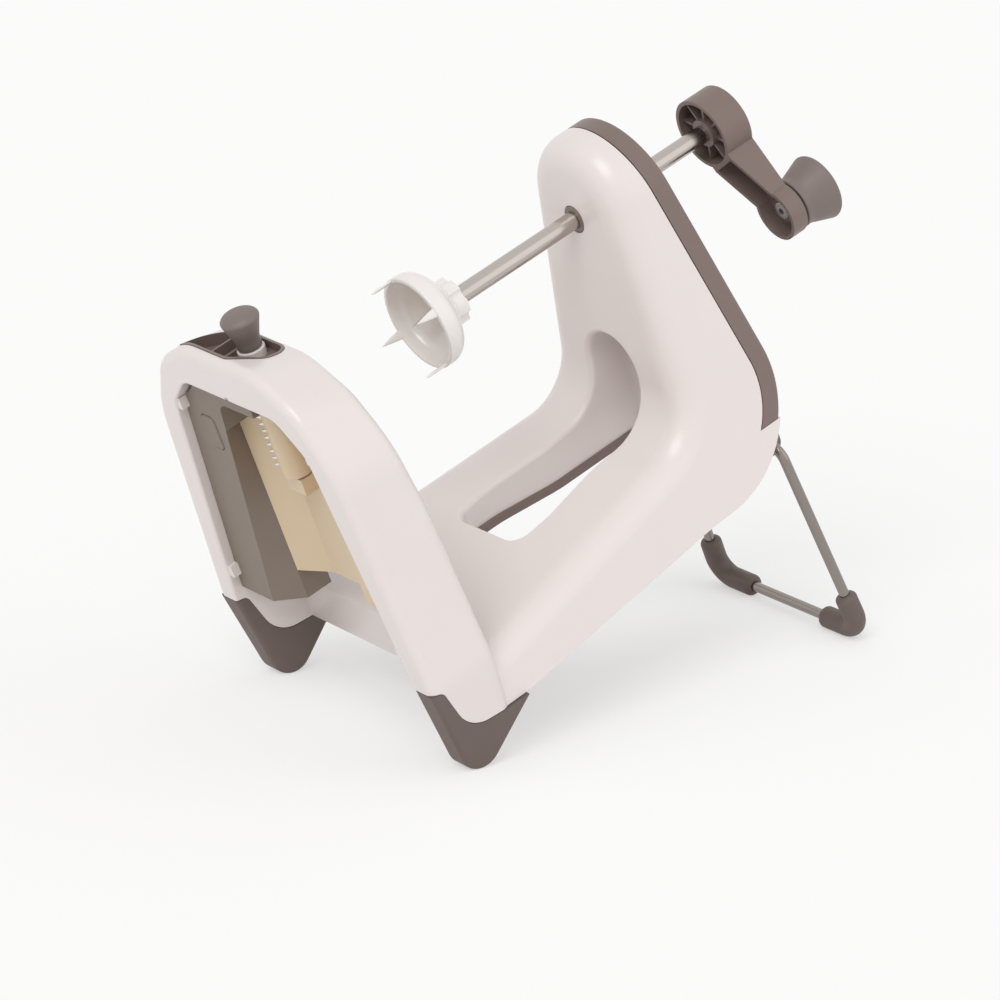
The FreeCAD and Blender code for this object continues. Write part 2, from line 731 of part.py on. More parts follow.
# base cover, with the grip slot through it
base_cover = new_body("BaseCover")
cover_floor = -D.belly_drop - D.cover_thickness
extrude(base_cover, "BasePlate", "XY", cover_floor, -D.belly_drop, belly_plan(0.3))
grip_opening = [
    (c[0] + (0 if index in (3, 4) else 1.2), c[1] * 0.95) + tuple(c[2:]) for index, c in enumerate(
        [tuple(size(v) for v in corner) for corner in grip_plan])
]
extrude(base_cover, "BaseGrip", "XY", LOW, HIGH, grip_opening, cut=True)
base_places = [(70, -60), (70, 60), (150, -52), (150, 52), (232, -44), (232, 44)]
base_screws = screws("BaseScrews", "XY", cover_floor + 0.4, base_places, 1, shank=10.0)
base_cover_done = cut_away("BaseCoverDrilled", cut_away(
    "BaseCoverWells", base_cover,
    wells("BaseWells", "XY", cover_floor - 5, cover_floor + 2.6, base_places, 3.3)),
    base_screws)

# rubber feet
def rubber_foot(name, side):
    foot = new_body(name)
    low, high = sorted([(D.leg_half - 40) * side, (D.leg_half + 12) * side], key=lambda item: item.value)
    extrude(foot, f"{name}Wedge", "XZ", low, high, [
        (0, -D.leg_drop - 1.2),
        (D.foot_tip_back, -D.foot_tip_drop, D.foot_tip_radius),
        (D.arch_depth + 12, -D.base_drop - 0.4),
        (15, -D.base_drop + 3.6, 18),
        (7, -D.leg_drop - 2.4, 5),
    ])
    extrude(foot, f"{name}Outside", "YZ", -50, 120, [
        ((D.foot_tip_half - 2) * side, LOW),
        (D.leg_half * side, -D.leg_drop),
        (D.arch_hip_half * side, 0),
        (D.arch_hip_half * side * 2, 0),
        (D.arch_hip_half * side * 2, LOW),
    ], cut=True)
    extrude(foot, f"{name}Inside", "YZ", -50, 120, [
        ((window_low_half - window_taper) * side, LOW - 5),
        (window_low_half * side, -D.leg_drop),
        (window_half_at(0) * side, 0),
        (20 * side, 0),
        (20 * side, LOW - 5),
    ], cut=True)
    sole_high = -D.leg_drop.value - 12
    dress(foot, f"{name}Rounding", 2.5, lambda e, m: m.x < 5 and m.z < sole_high and e.Length > 30)
    return foot


foot_near = rubber_foot("FootNear", -1)
foot_far = rubber_foot("FootFar", 1)

# tray insert and bearing ring of the selector
tray_block = new_body("TopTray")
tray_cut(tray_block, "TrayBlock", 0.2, tray_floor, HIGH)
tray_cut(tray_block, "TrayHollow", 1.8, tray_floor + 2, HIGH + 5, cut=True)
for rib_y, rib_height in ((17, 5.5), (10, 2.5)):
    box(tray_block, f"TrayRib{rib_y}", (tray_front + 1, 24), (rib_y, rib_y + 1.4),
        (tray_floor + 1, tray_floor + 2 + rib_height))
collar_hole = 7.6
extrude(tray_block, "TrayHole", "XY", 0, HIGH, circles=[(D.selector_axis, 0, collar_hole)], cut=True)
crown_limit = new_body("CrownLimit")
arch_loft(crown_limit, "CrownLimitLoft", size(0.5))
tray = doc.addObject("Part::Common", "TrayTrimmed")
tray.Base = tray_block
tray.Tool = crown_limit
bearing_ring = new_body("SelectorCollar")
revolve(bearing_ring, "CollarRing", [
    (4.4, tray_floor),
    (7.4, tray_floor),
    (7.4, D.selector_base - 0.3, 0.8),
    (4.4, D.selector_base - 0.3),
], axis="V_Axis")

# ---------------------------------------------------------------- shaft and crank

sleeve = new_body("BearingSleeve")
sleeve_front = D.tower_front - 0.3
sleeve_rear = D.tower_rear + 3.2
revolve(sleeve, "SleeveSection", [
    (sleeve_front, D.shaft_radius + D.running_gap),
    (sleeve_front, D.sleeve_flange_radius, 0.6),
    (sleeve_front + 2, D.sleeve_flange_radius),
    (sleeve_front + 2, D.sleeve_radius),
    (sleeve_rear - 1.6, D.sleeve_radius),
    (sleeve_rear - 1.6, D.sleeve_flange_radius + 1.3),
    (sleeve_rear, D.sleeve_flange_radius + 1.3, 0.6),
    (sleeve_rear, D.shaft_radius + D.running_gap),
])

hub_rear = D.hub_front + D.hub_depth
cup_floor = D.cup_rim_front + D.cup_depth
collar_rear = cup_floor + D.collar_length
web = 2.6
rim = 2.2
arm_pivot_z = -D.crank_throw

shaft = new_body("DriveShaft")
shaft_end = hub_rear - web
extrude(shaft, "ShaftRod", "YZ", cup_floor, shaft_end, circles=[(0, 0, D.shaft_radius)])

# crank arm, drawn straight down and turned to its angle at the end
crank = new_body("CrankArm")


def arm_outline(inset, top):
    """The straight arm from the end boss up to a level, narrower by the inset."""
    return both_sides([
        (D.crank_arm_half - inset, arm_pivot_z),
        (D.crank_arm_half - inset, top),
    ])


floor_level = hub_rear - web
boss_front = D.hub_front + 8
extrude(crank, "HubPlate", "YZ", floor_level, hub_rear, circles=[(0, 0, D.hub_radius)])
extrude(crank, "EndPlate", "YZ", floor_level, hub_rear, circles=[(0, arm_pivot_z, D.handle_boss_radius)])
extrude(crank, "ArmPlate", "YZ", floor_level, hub_rear, arm_outline(0, -5))
extrude(crank, "HubRim", "YZ", D.hub_front, floor_level,
        circles=[(0, 0, D.hub_radius), (0, 0, D.hub_radius - rim)])
extrude(crank, "EndRim", "YZ", boss_front, floor_level,
        circles=[(0, arm_pivot_z, D.handle_boss_radius), (0, arm_pivot_z, D.handle_boss_radius - rim)])
arm_start = -D.hub_radius + 4.3
arm_stop = arm_pivot_z + 9
extrude(crank, "ArmWalls", "YZ", D.hub_front, floor_level, both_sides([
    (D.crank_arm_half, arm_stop),
    (D.crank_arm_half, arm_start),
]))
extrude(crank, "ArmSlant", "XZ", -40, 40, [
    (D.hub_front - 10, -D.hub_radius - 0.2),
    (D.hub_front, -D.hub_radius - 0.2),
    (boss_front, arm_stop),
    (boss_front, arm_pivot_z - 30),
    (D.hub_front - 10, arm_pivot_z - 30),
], cut=True)
extrude(crank, "ArmChannel", "YZ", D.hub_front - 5, floor_level, both_sides([
    (D.crank_arm_half - rim, arm_pivot_z),
    (D.crank_arm_half - rim, -D.hub_radius - 0.2),
]), cut=True)
extrude(crank, "HubHollow", "YZ", D.hub_front - 5, floor_level, circles=[(0, 0, D.hub_radius - rim)],
        cut=True)
extrude(crank, "HubBoss", "YZ", D.hub_front + 1, floor_level, circles=[(0, 0, D.shaft_radius + 3)])
rib_half = 0.7
box(crank, "HubRib", (D.hub_front + 3, floor_level + 0.5), (-rib_half, rib_half),
    (D.shaft_radius + 2, D.hub_radius - 1))
rib_feature = crank.Tip
ribs = crank.newObject("PartDesign::PolarPattern", "HubRibs")
ribs.Originals = [rib_feature]
ribs.Axis = ([item for item in crank.Origin.OriginFeatures if item.Role == "X_Axis"][0], [""])
ribs.Angle = 360
ribs.Occurrences = 8
crank.Tip = ribs
axle_head = floor_level - 3.5
extrude(crank, "AxleBoss", "YZ", axle_head + 1, floor_level, circles=[(0, arm_pivot_z, 7)])
extrude(crank, "ShaftSocket", "YZ", D.hub_front - 5, floor_level, circles=[(0, 0, D.shaft_radius)], cut=True)
extrude(crank, "AxleHole", "YZ", D.hub_front - 5, hub_rear + 5, circles=[(0, arm_pivot_z, 3.5)], cut=True)
extrude(crank, "CapHole", "YZ", floor_level - 1, hub_rear + 1, circles=[(0, 0, 3)], cut=True)
dress(crank, "CrankRounding", 1.5,
      lambda e, m: m.x > hub_rear.value - 0.01 and math.hypot(m.y, m.z) > 8
      and math.hypot(m.y, m.z - arm_pivot_z.value) > 8)

hub_screw = new_body("HubScrew")
revolve(hub_screw, "HubScrewSection", [
    (shaft_end, 0),
    (shaft_end, 3),
    (hub_rear, 3),
    (hub_rear, 6.5),
    (hub_rear + 1.8, 6.5, 1.2),
    (hub_rear + 1.8, 0),
])
axle = new_body("KnobAxle")
knob_front = hub_rear + 1.2
knob_rear = knob_front + D.handle_length
revolve(axle, "AxleSection", [
    (axle_head, 0),
    (axle_head, 5.2, 0.8),
    (axle_head + 1, 5.2),
    (axle_head + 1, 3.5),
    (knob_rear - 6, 3.5),
    (knob_rear - 6, 6.5),
    (knob_rear - 4, 6.5),
    (knob_rear - 4, 0),
])
extrude(axle, "AxleSocket", "YZ", axle_head - 1, axle_head + 2.5, hexagon(0, 0, 2), cut=True)

knob = new_body("CrankKnob")
bore = 3.5 + D.running_gap
revolve(knob, "KnobSection", [
    (knob_front, bore),
    (knob_front, D.handle_boss_radius - 1.2, 1.5),
    (knob_front + 6, D.handle_boss_radius - 1.6, 20),
    (knob_rear - 0.5, D.handle_end_radius, 1.8),
    (knob_rear, 12),
    (knob_rear - 2, 12),
    (knob_rear - 2, 8),
    (knob_rear - 6.4, 8),
    (knob_rear - 6.4, bore),
])
knob_cap = new_body("KnobCap")
revolve(knob_cap, "KnobCapSection", [
    (knob_rear - 2, 0),
    (knob_rear - 2, 11.9),
    (knob_rear + 0.1, 11.9, 1),
    (knob_rear + 0.8, 0),
])

# food holder: domed cup with prongs, lobed collar, centre spike and cross pin
cup = new_body("FoodHolder")
cup_wall = 2.4
revolve(cup, "CupSection", [
    (D.cup_rim_front, D.cup_radius - cup_wall),
    (D.cup_rim_front, D.cup_radius, 0.8),
    (D.cup_rim_front + 9.5, D.cup_radius, 11),
    (cup_floor, 15, 3),
    (cup_floor, 0),
    (cup_floor - cup_wall, 0),
    (cup_floor - cup_wall, 14, 2),
    (D.cup_rim_front + 8.5, D.cup_radius - cup_wall, 9),
])
prong_root = D.cup_rim_front + 4
box_levels = (D.cup_radius - cup_wall + 0.15, D.cup_radius - 0.6)
extrude(cup, "Prong", "XY", box_levels[0], box_levels[1], [
    (prong_root, -3),
    (prong_root, 3),
    (D.cup_rim_front - 0.5, 2.5),
    (D.cup_rim_front - D.prong_length, 0.5, 0.4),
    (D.cup_rim_front - D.prong_length, -0.5, 0.4),
    (D.cup_rim_front - 0.5, -2.5),
])
prong_feature = cup.Tip
prongs = cup.newObject("PartDesign::PolarPattern", "Prongs")
prongs.Originals = [prong_feature]
prongs.Axis = ([item for item in cup.Origin.OriginFeatures if item.Role == "X_Axis"][0], [""])
prongs.Angle = 360
prongs.Occurrences = 4
cup.Tip = prongs
extrude(cup, "SpikeHole", "YZ", D.cup_rim_front - 5, cup_floor + 5, circles=[(0, 0, 3)], cut=True)

collar = new_body("HolderCollar")
extrude(collar, "CollarDisc", "YZ", cup_floor, collar_rear,
        circles=[(0, 0, D.collar_radius), (0, 0, D.shaft_radius)])
extrude(collar, "Flute", "YZ", cup_floor - 1, collar_rear + 1,
        circles=[(0, D.collar_radius + 2.6, 4.5)], cut=True)
flute_feature = collar.Tip
flutes = collar.newObject("PartDesign::PolarPattern", "Flutes")
flutes.Originals = [flute_feature]
flutes.Axis = ([item for item in collar.Origin.OriginFeatures if item.Role == "X_Axis"][0], [""])
flutes.Angle = 360
flutes.Occurrences = 6
collar.Tip = flutes
spike = new_body("CentreSpike")
revolve(spike, "SpikeSection", [
    (D.cup_rim_front - 4, 0),
    (cup_floor - 4, 3),
    (cup_floor, 3),
    (cup_floor, 0),
])
pin = new_body("HolderPin")
extrude(pin, "PinRod", "XY", -D.collar_radius + 3.4, D.collar_radius - 3.4,
        circles=[(cup_floor + D.collar_length / 2, 0, 1.25)])
shaft_drilled = cut_away("ShaftDrilled", shaft, pin)
collar_drilled = cut_away("CollarDrilled", collar, pin)

# ---------------------------------------------------------------- rear stand, drawn from its pivot

stand_place = FreeCAD.Placement(
    FreeCAD.Vector(D.stand_pivot_back.value, 0, -D.stand_pivot_drop.value),
    FreeCAD.Rotation(FreeCAD.Vector(0, 1, 0), -D.stand_lean.value),
)
bend = 9.0
foot_bend = 13.0
sleeve_up = 12.0
sleeve_in = 24.0
stand_slope = (D.stand_foot_half - D.stand_top_half) / D.stand_length


def wire_path(body, name, corners):
    """An open path in the plane across the machine: straight runs with tangent arcs at the corners."""
    sketch = new_sketch(body, "YZ", name, 0)
    points = [FreeCAD.Vector(size(c[0]).value, size(c[1]).value, 0) for c in corners]
    last = None
    ends = [points[0]]
    arcs = []
    for i in range(1, len(points) - 1):
        to_last = (points[i - 1] - points[i]).normalize()
        to_next = (points[i + 1] - points[i]).normalize()
        half = to_last.getAngle(to_next) / 2
        radius = size(corners[i][2]).value
        reach = radius / math.tan(half)
        first, second = points[i] + to_last * reach, points[i] + to_next * reach
        centre = points[i] + (to_last + to_next).normalize() * (radius / math.sin(half))
        ends += [first, second]
        arcs.append(corner_arc(centre, first, second, radius))
    ends.append(points[-1])
    lines = [sketch.addGeometry(Part.LineSegment(ends[2 * k], ends[2 * k + 1]), False)
             for k in range(len(ends) // 2)]
    for k, arc in enumerate(arcs):
        corner = corners[k + 1]
        turned = points[k].sub(points[k + 1]).cross(points[k + 2].sub(points[k + 1])).z
        arc_from, arc_to = (1, 2) if turned < 0 else (2, 1)
        item = sketch.addGeometry(arc, False)
        sketch.addConstraint(Sketcher.Constraint("Tangent", lines[k], 2, item, arc_from))
        sketch.addConstraint(Sketcher.Constraint("Tangent", lines[k + 1], 1, item, arc_to))
        drive(sketch, Sketcher.Constraint("Radius", item, size(corner[2]).value), corner[2])
        apex = sketch.addGeometry(Part.Point(points[k + 1]), True)
        pin_point(sketch, apex, 1, corner[0], corner[1])
        sketch.addConstraint(Sketcher.Constraint("PointOnObject", apex, 1, lines[k]))
        sketch.addConstraint(Sketcher.Constraint("PointOnObject", apex, 1, lines[k + 1]))
    pin_point(sketch, lines[0], 1, corners[0][0], corners[0][1])
    pin_point(sketch, lines[-1], 2, corners[-1][0], corners[-1][1])
    sketch.Visibility = False
    return sketch


stand = new_body("StandWire")
spine = wire_path(stand, "StandPath", [
    (-lug_inner - 1, 0),
    (-D.stand_top_half, 0, bend),
    (-D.stand_foot_half, -D.stand_length, foot_bend),
    (D.stand_foot_half, -D.stand_length, foot_bend),
    (D.stand_top_half, 0, bend),
    (lug_inner + 1, 0),
])
ring = new_sketch(stand, "XZ", "StandRing", lug_inner + 1)
draw_circle(ring, 0, 0, D.wire_radius)
ring.Visibility = False
pipe = stand.newObject("PartDesign::AdditivePipe", "StandSweep")
pipe.Profile = ring
pipe.Spine = (spine, [])


def stand_foot(name, side):
    """Rubber sleeve round one corner of the stand: same bend as the wire, bored for it."""
    foot = new_body(name)
    up_half = D.stand_foot_half - stand_slope * (sleeve_up + foot_bend)
    path = wire_path(foot, f"{name}Path", [
        (up_half * side, -D.stand_length + sleeve_up + foot_bend),
        (D.stand_foot_half * side, -D.stand_length, foot_bend),
        ((D.stand_foot_half - sleeve_in - foot_bend * 0.5) * side, -D.stand_length),
    ])
    section = new_sketch(foot, "XZ", f"{name}Section",
                         -(D.stand_foot_half - sleeve_in - foot_bend * 0.5) * side)
    draw_circle(section, 0, -D.stand_length, D.stand_foot_radius)
    draw_circle(section, 0, -D.stand_length, D.wire_radius)
    section.Visibility = False
    sweep = foot.newObject("PartDesign::AdditivePipe", f"{name}Sweep")
    sweep.Profile = section
    sweep.Spine = (path, [])
    return foot


stand_near = stand_foot("StandFootNear", -1)
stand_far = stand_foot("StandFootFar", 1)

# ---------------------------------------------------------------- blade cartridge

bar_top = D.window_top - 2.5
bar_low = -D.cartridge_drop
wing_back = D.plate_front + 3
ridge_top_half = 21.5
ridge_low_half = 50.7


def bar_section(z, ridge, side):
    """Plan of one side bar at a level: front face, leg side, back, plate seat."""
    leg_side = (window_half_at(z) - D.free_gap) * side
    return [
        (D.cartridge_front, ridge * side),
        (D.cartridge_front, leg_side),
        (D.cartridge_back, leg_side),
        (D.cartridge_back, (D.plate_half + 0.2) * side),
        (D.plate_front, (D.plate_half + 0.2) * side),
    ]


shoulder_level = D.window_shoulder_height - 12
bars = []
for side in (-1, 1):
    label = "Far" if side > 0 else "Near"
    bar = new_body(f"Bar{label}")
    loft(bar, f"Bar{label}Loft", [
        (bar_low, bar_section(bar_low, size(ridge_low_half), side)),
        (shoulder_level, bar_section(shoulder_level, size(27.5), side)),
    ])
    bars.append(bar)
band = new_body("CartridgeBand")
extrude(band, "BandOutline", "YZ", D.cartridge_front, D.cartridge_back, both_sides([
    (window_half_at(shoulder_level) - D.free_gap, shoulder_level),
    (D.window_shoulder_half - 1.5 - D.free_gap * 2, D.window_shoulder_height - 1, 12),
    (D.window_corner_half - 1, bar_top, 16),
]))
extrude(band, "BandArch", "YZ", D.cartridge_front - 5, D.cartridge_back + 5, both_sides([
    (28, shoulder_level - 5),
    (24, D.window_top - 11.5, 8),
]), cut=True)
band_step = new_body("BandStep")
box(band_step, "BandStepBlock", (-5, wing_back), (-90, -9), (-150, 60))
frame_solid = cut_away("CartridgeStepped", fuse("CartridgeSolid", bars + [band]), band_step)

plate = new_body("BladePlate")
extrude(plate, "PlateTrough", "XY", -D.plate_drop, bar_top - 1, [
    (D.plate_front, -D.plate_half),
    (D.cartridge_back - 2, -D.plate_half),
    (D.cartridge_back - 2, D.plate_half),
    (D.plate_front, D.plate_half),
    (D.cartridge_back - 7, 12.5),
    (D.cartridge_back - 7, -12.5),
])
box(plate, "DrumLedge", (D.plate_front + 0.5, D.cartridge_back - 3), (-8, 8), (-44, -34.6))
extrude(plate, "PlateWing", "YZ", D.plate_front, wing_back - 0.1, [
    (-D.plate_half + 4, bar_top - 3),
    (-D.plate_half + 4, -D.plate_drop),
    (-D.plate_half - 17, -D.plate_drop, 3),
    (-D.plate_half - 6, bar_top - 14),
])
extrude(plate, "PlateWindow", "YZ", 0, 60, [(-12.5, -34.6), (12.5, -34.6), (12.5, 18, 3), (-12.5, 18, 3)],
        cut=True)
extrude(plate, "BladeSlit", "YZ", D.cartridge_back - 4, D.cartridge_back, [
    (12.5, -6), (25, -6), (25, -4.4), (12.5, -4.4)], cut=True)

blade = new_body("StraightBlade")
box(blade, "BladeStrip", (D.cartridge_back - 2, D.cartridge_back - 1), (11, 24.5), (-4, 6))
dress(blade, "BladeEdge", 0.8,
      lambda e, m: m.z < -3.9 and m.x > D.cartridge_back.value - 1.1 and abs(m.y - 17.7) < 1,
      kind="PartDesign::Chamfer")
blade_places = [(14, 3.4), (21.5, 3.4)]
blade_screws = screws("BladeScrews", "YZ", D.cartridge_back - 0.2, blade_places, -1,
                      head_radius=1.8, head=0.8, shank=4.5, shank_radius=0.9,
                      socket_depth=0.4, socket_radius=0.8)

# blade drum on the selector axis, drawn about its own Z axis
drum = new_body("BladeDrum")
drum_low = -34.0
drum_high = D.window_top - 12.2
tongue_low = D.window_top - 2.2
revolve(drum, "DrumSection", [
    (0, drum_low - 3),
    (3, drum_low - 3),
    (3, drum_low),
    (D.drum_radius, drum_low, 1),
    (D.drum_radius, drum_high, 1),
    (4.2, drum_high),
    (4.2, tongue_low),
    (0, tongue_low),
], axis="V_Axis")
box(drum, "Tongue", (-3, 3), (-0.8, 0.8), (tongue_low - 1, tongue_low + 2.6))


def teeth(name, count, half_width, first):
    """A comb of pointed teeth along the drum, the first of them a little above its foot."""
    comb = new_body(name)
    seat = D.drum_radius - 1.2
    step = (drum_high - 8 - (drum_low + 4)) / (count - 1)
    box(comb, f"{name}Strip", (seat, seat + 1.2), (-2.6, 2.6), (drum_low + 1.5, drum_high - 2))
    for number in range(count):
        level = drum_low + first + number * step
        extrude(comb, f"{name}Tooth{number}", "XZ", -0.4, 0.4, [
            (seat + 0.6, level - half_width),
            (D.drum_radius + 3.8, level - half_width * 0.3),
            (D.drum_radius + 3.8, level + half_width * 0.3),
            (seat + 0.6, level + half_width),
        ])
    return comb


coarse = teeth("CoarseTeeth", 5, 1.9, 5.5)
fine = teeth("FineTeeth", 9, 1.1, 5.5)


def seat_cut(name, turn):
    """Groove in the drum for one comb."""
    groove = new_body(name)
    seat = D.drum_radius - 1.2
    box(groove, f"{name}Block", (seat, seat + 4), (-2.6, 2.6), (drum_low + 1.5, drum_high - 2))
    groove.Placement = FreeCAD.Placement(FreeCAD.Vector(), FreeCAD.Rotation(FreeCAD.Vector(0, 0, 1), turn))
    return groove


drum_cut = cut_away("DrumGrooved", drum,
                    fuse("DrumSeats", [seat_cut("CoarseSeat", 0), seat_cut("FineSeat", 120)]))

# selector knob with a slotted stem, drawn about its own Z axis
selector = new_body("SelectorKnob")
selector_top = D.selector_base + D.selector_height
revolve(selector, "SelectorSection", [
    (0, D.window_top - 1.8),
    (4, D.window_top - 1.8),
    (4, D.selector_base),
    (D.selector_foot_radius, D.selector_base, 0.8),
    (D.selector_foot_radius, D.selector_base + 5, 14),
    (D.selector_top_radius, selector_top - 2, 2),
    (D.selector_top_radius - 2, selector_top + 0.6, 4),
    (0, selector_top + 2),
], axis="V_Axis")
box(selector, "StemSlot", (-8, 8), (-1.0, 1.0), (0, tongue_low + 3.0), cut=True)

# the drum's chamber and bearings in the cartridge
chamber = new_body("DrumChamber")
sweep_radius = D.drum_radius + 3.8 + D.free_gap
extrude(chamber, "DrumRoom", "XY", drum_low - 0.5, drum_high + 0.4,
        circles=[(D.selector_axis, 0, sweep_radius)])
extrude(chamber, "TopJournal", "XY", drum_high - 1, 40, circles=[(D.selector_axis, 0, 4.2 + D.running_gap)])
extrude(chamber, "LowJournal", "XY", drum_low - 3.4, drum_low,
        circles=[(D.selector_axis, 0, 3 + D.running_gap)])

# release button in the far bar, with its return spring
button_span = (36.5, 48.5)
button_levels = (-21.0, -1.0)
button_front = D.cartridge_front - 0.6
button = new_body("ReleaseButton")
extrude(button, "ButtonPad", "YZ", button_front, D.cartridge_front + 8, [
    (button_span[0], button_levels[0], 3),
    (button_span[1], button_levels[0], 3),
    (button_span[1], button_levels[1], 3),
    (button_span[0], button_levels[1], 3),
])
dress(button, "ButtonRounding", 0.8, lambda e, m: m.x < button_front.value + 0.01)
button_well = new_body("ButtonWell")
extrude(button_well, "ButtonWellBlock", "YZ", 0, D.cartridge_front + 16, [
    (button_span[0] - 0.35, button_levels[0] - 0.35, 3.35),
    (button_span[1] + 0.35, button_levels[0] - 0.35, 3.35),
    (button_span[1] + 0.35, button_levels[1] + 0.35, 3.35),
    (button_span[0] - 0.35, button_levels[1] + 0.35, 3.35),
])
spring = new_body("ButtonSpring")
spring_y = (button_span[0] + button_span[1]) / 2
spring_z = (button_levels[0] + button_levels[1]) / 2
coil_radius, coil_wire = 3.4, 0.45
spring_start = D.cartridge_front + 8 + coil_wire
spring_length = 8 - 2 * coil_wire

# grooves that run along the guide rails
rail_grooves = []
for level, (low, high) in enumerate(rail_levels):
    wall = window_half_at((low + high) / 2)
    for side in (-1, 1):
        groove = new_body(f"RailGroove{level}{'Far' if side > 0 else 'Near'}")
        edges = sorted([(wall - 3.5 - D.free_gap) * side, (wall + 6) * side], key=lambda item: item.value)
        box(groove, f"{groove.Name}Block", (-20, 80), edges, (low - D.free_gap, high + D.free_gap))
        rail_grooves.append(groove)

frame_cut = cut_away("CartridgeCut", frame_solid,
                     fuse("CartridgeTools", [chamber, button_well] + rail_grooves))
frame_cut = cut_away("CartridgeSeat", frame_cut, plate)
plate_cut = cut_away("PlateChambered", plate, chamber)
plate_cut = cut_away("PlateDrilled", plate_cut, blade_screws)
blade_drilled = cut_away("BladeDrilled", blade, blade_screws)

# housing, complete
tools = fuse("HousingTools",
             [cuts, rear_seat, foot_seat, tray_well, bracket_near, bracket_far, rear_screws, base_screws])
housing = cut_away("Housing", shell, tools)

# ---------------------------------------------------------------- spring of the release button

coil = new_sketch(spring, "XZ", "CoilWire", 0)
draw_circle(coil, coil_radius, 0, coil_wire)
coil.Visibility = False
helix = spring.newObject("PartDesign::AdditiveHelix", "Coil")
helix.Profile = coil
helix.ReferenceAxis = (coil, ["V_Axis"])
helix.Mode = 0
helix.Pitch = 1.9
helix.Height = spring_length

# ---------------------------------------------------------------- placing

def machine_point(x, z):
    return FreeCAD.Vector(size(x).value, size(z).value, 0)


tip = corner_centre(
    machine_point(0, -D.leg_drop),
    machine_point(D.foot_tip_back, -D.foot_tip_drop),
    machine_point(D.arch_depth + 12, -D.base_drop),
    D.foot_tip_radius.value,
)
lean = math.radians(D.stand_lean.value)
heel = machine_point(
    D.stand_pivot_back.value + D.stand_length.value * math.sin(lean),
    -D.stand_pivot_drop.value - D.stand_length.value * math.cos(lean),
)
span = heel - tip
tilt = (math.atan2(-span.y, span.x)
        - math.asin((D.foot_tip_radius.value - D.stand_foot_radius.value) / span.Length))
rise = D.foot_tip_radius.value - (math.sin(tilt) * tip.x + math.cos(tilt) * tip.y)
lean_back = FreeCAD.Placement(FreeCAD.Vector(0, 0, rise),
                              FreeCAD.Rotation(FreeCAD.Vector(0, 1, 0), -math.degrees(tilt)))


def moved(x=0.0, y=0.0, z=0.0, axis="X", degrees=0.0):
    """A place in the machine frame: turned about an axis, then moved."""
    turn = {"X": (1, 0, 0), "Y": (0, 1, 0), "Z": (0, 0, 1)}[axis]
    values = [size(v).value for v in (x, y, z)]
    return FreeCAD.Placement(FreeCAD.Vector(*values), FreeCAD.Rotation(FreeCAD.Vector(*turn), degrees))


still = moved()
turned_crank = moved(degrees=-D.crank_angle.value)
at_handle = turned_crank * moved(z=arm_pivot_z)
at_selector = moved(x=D.selector_axis)
turned_cup = moved(degrees=60)
fine_turn = at_selector * moved(axis="Z", degrees=120)
at_spring = moved(spring_start, spring_y, spring_z, "Y", 90)

pieces = [
    ("main_housing", housing, still),
    ("rear_cover", rear_cover, still),
    ("rear_cover_screws", rear_screws, still),
    ("base_cover", base_cover_done, still),
    ("base_cover_screws", base_screws, still),
    ("foot_near", foot_near, still),
    ("foot_far", foot_far, still),
    ("top_tray", tray, still),
    ("selector_collar", bearing_ring, at_selector),
    ("stand_bracket_near", bracket_near, still),
    ("stand_bracket_far", bracket_far, still),
    ("bearing_sleeve", sleeve, still),
    ("drive_shaft", shaft_drilled, still),
    ("crank_arm", crank, turned_crank),
    ("hub_screw", hub_screw, turned_crank),
    ("knob_axle", axle, at_handle),
    ("crank_knob", knob, at_handle),
    ("knob_cap", knob_cap, at_handle),
    ("food_holder", cup, turned_cup),
    ("holder_collar", collar_drilled, still),
    ("centre_spike", spike, still),
    ("holder_pin", pin, still),
    ("stand_wire", stand, stand_place),
    ("stand_foot_near", stand_near, stand_place),
    ("stand_foot_far", stand_far, stand_place),
    ("cartridge_frame", frame_cut, still),
    ("blade_plate", plate_cut, still),
    ("straight_blade", blade_drilled, still),
    ("blade_screws", blade_screws, still),
    ("release_button", button, still),
    ("button_spring", spring, at_spring),
    ("blade_drum", drum_cut, at_selector),
    ("coarse_teeth", coarse, at_selector),
    ("fine_teeth", fine, fine_turn),
    ("selector_knob", selector, at_selector),
]

finished = []
for label, item, local in pieces:
    piece = doc.addObject("Part::Refine", f"Piece_{label}")
    piece.Source = item
    piece.Label = label
    finished.append((piece, local))
doc.recompute()

low_x, high_x = math.inf, -math.inf
for piece, local in finished:
    piece.Placement = lean_back * local
    points = piece.Shape.tessellate(0.3)[0]
    low_x = min(low_x, min(p.x for p in points))
    high_x = max(high_x, max(p.x for p in points))

centred = FreeCAD.Placement(FreeCAD.Vector(-(low_x + high_x) / 2, 0, 0), FreeCAD.Rotation())
for piece, local in finished:
    piece.Placement = centred * lean_back * local
doc.recompute()

for item in doc.Objects:
    if "Invalid" in item.State or "Error" in item.State:
        raise RuntimeError(f"{item.Name}: {item.State}")

os.makedirs("parts", exist_ok=True)
for piece, local in finished:
    shape = piece.Shape
    if shape.isNull() or not shape.isValid():
        raise RuntimeError(f"{piece.Label}: bad shape")
    shape.exportStep(os.path.join("parts", f"{piece.Label}.step"))

print("tilt", round(math.degrees(tilt), 3), "rise", round(rise, 3),
      "centre x", round((low_x + high_x) / 2, 3))
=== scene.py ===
"""Dressed model of a hand cranked spiralizer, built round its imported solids.

The machine is described in its own frame, in millimetres, with the crank shaft on the X axis; a Lean
carries such points into the row frame, in metres, where the machine leans back on its stand.
"""

from __future__ import annotations

import json
import logging
import math
from dataclasses import dataclass
from enum import Enum

import bmesh
import bpy
import numpy as np
from mathutils import Matrix, Vector

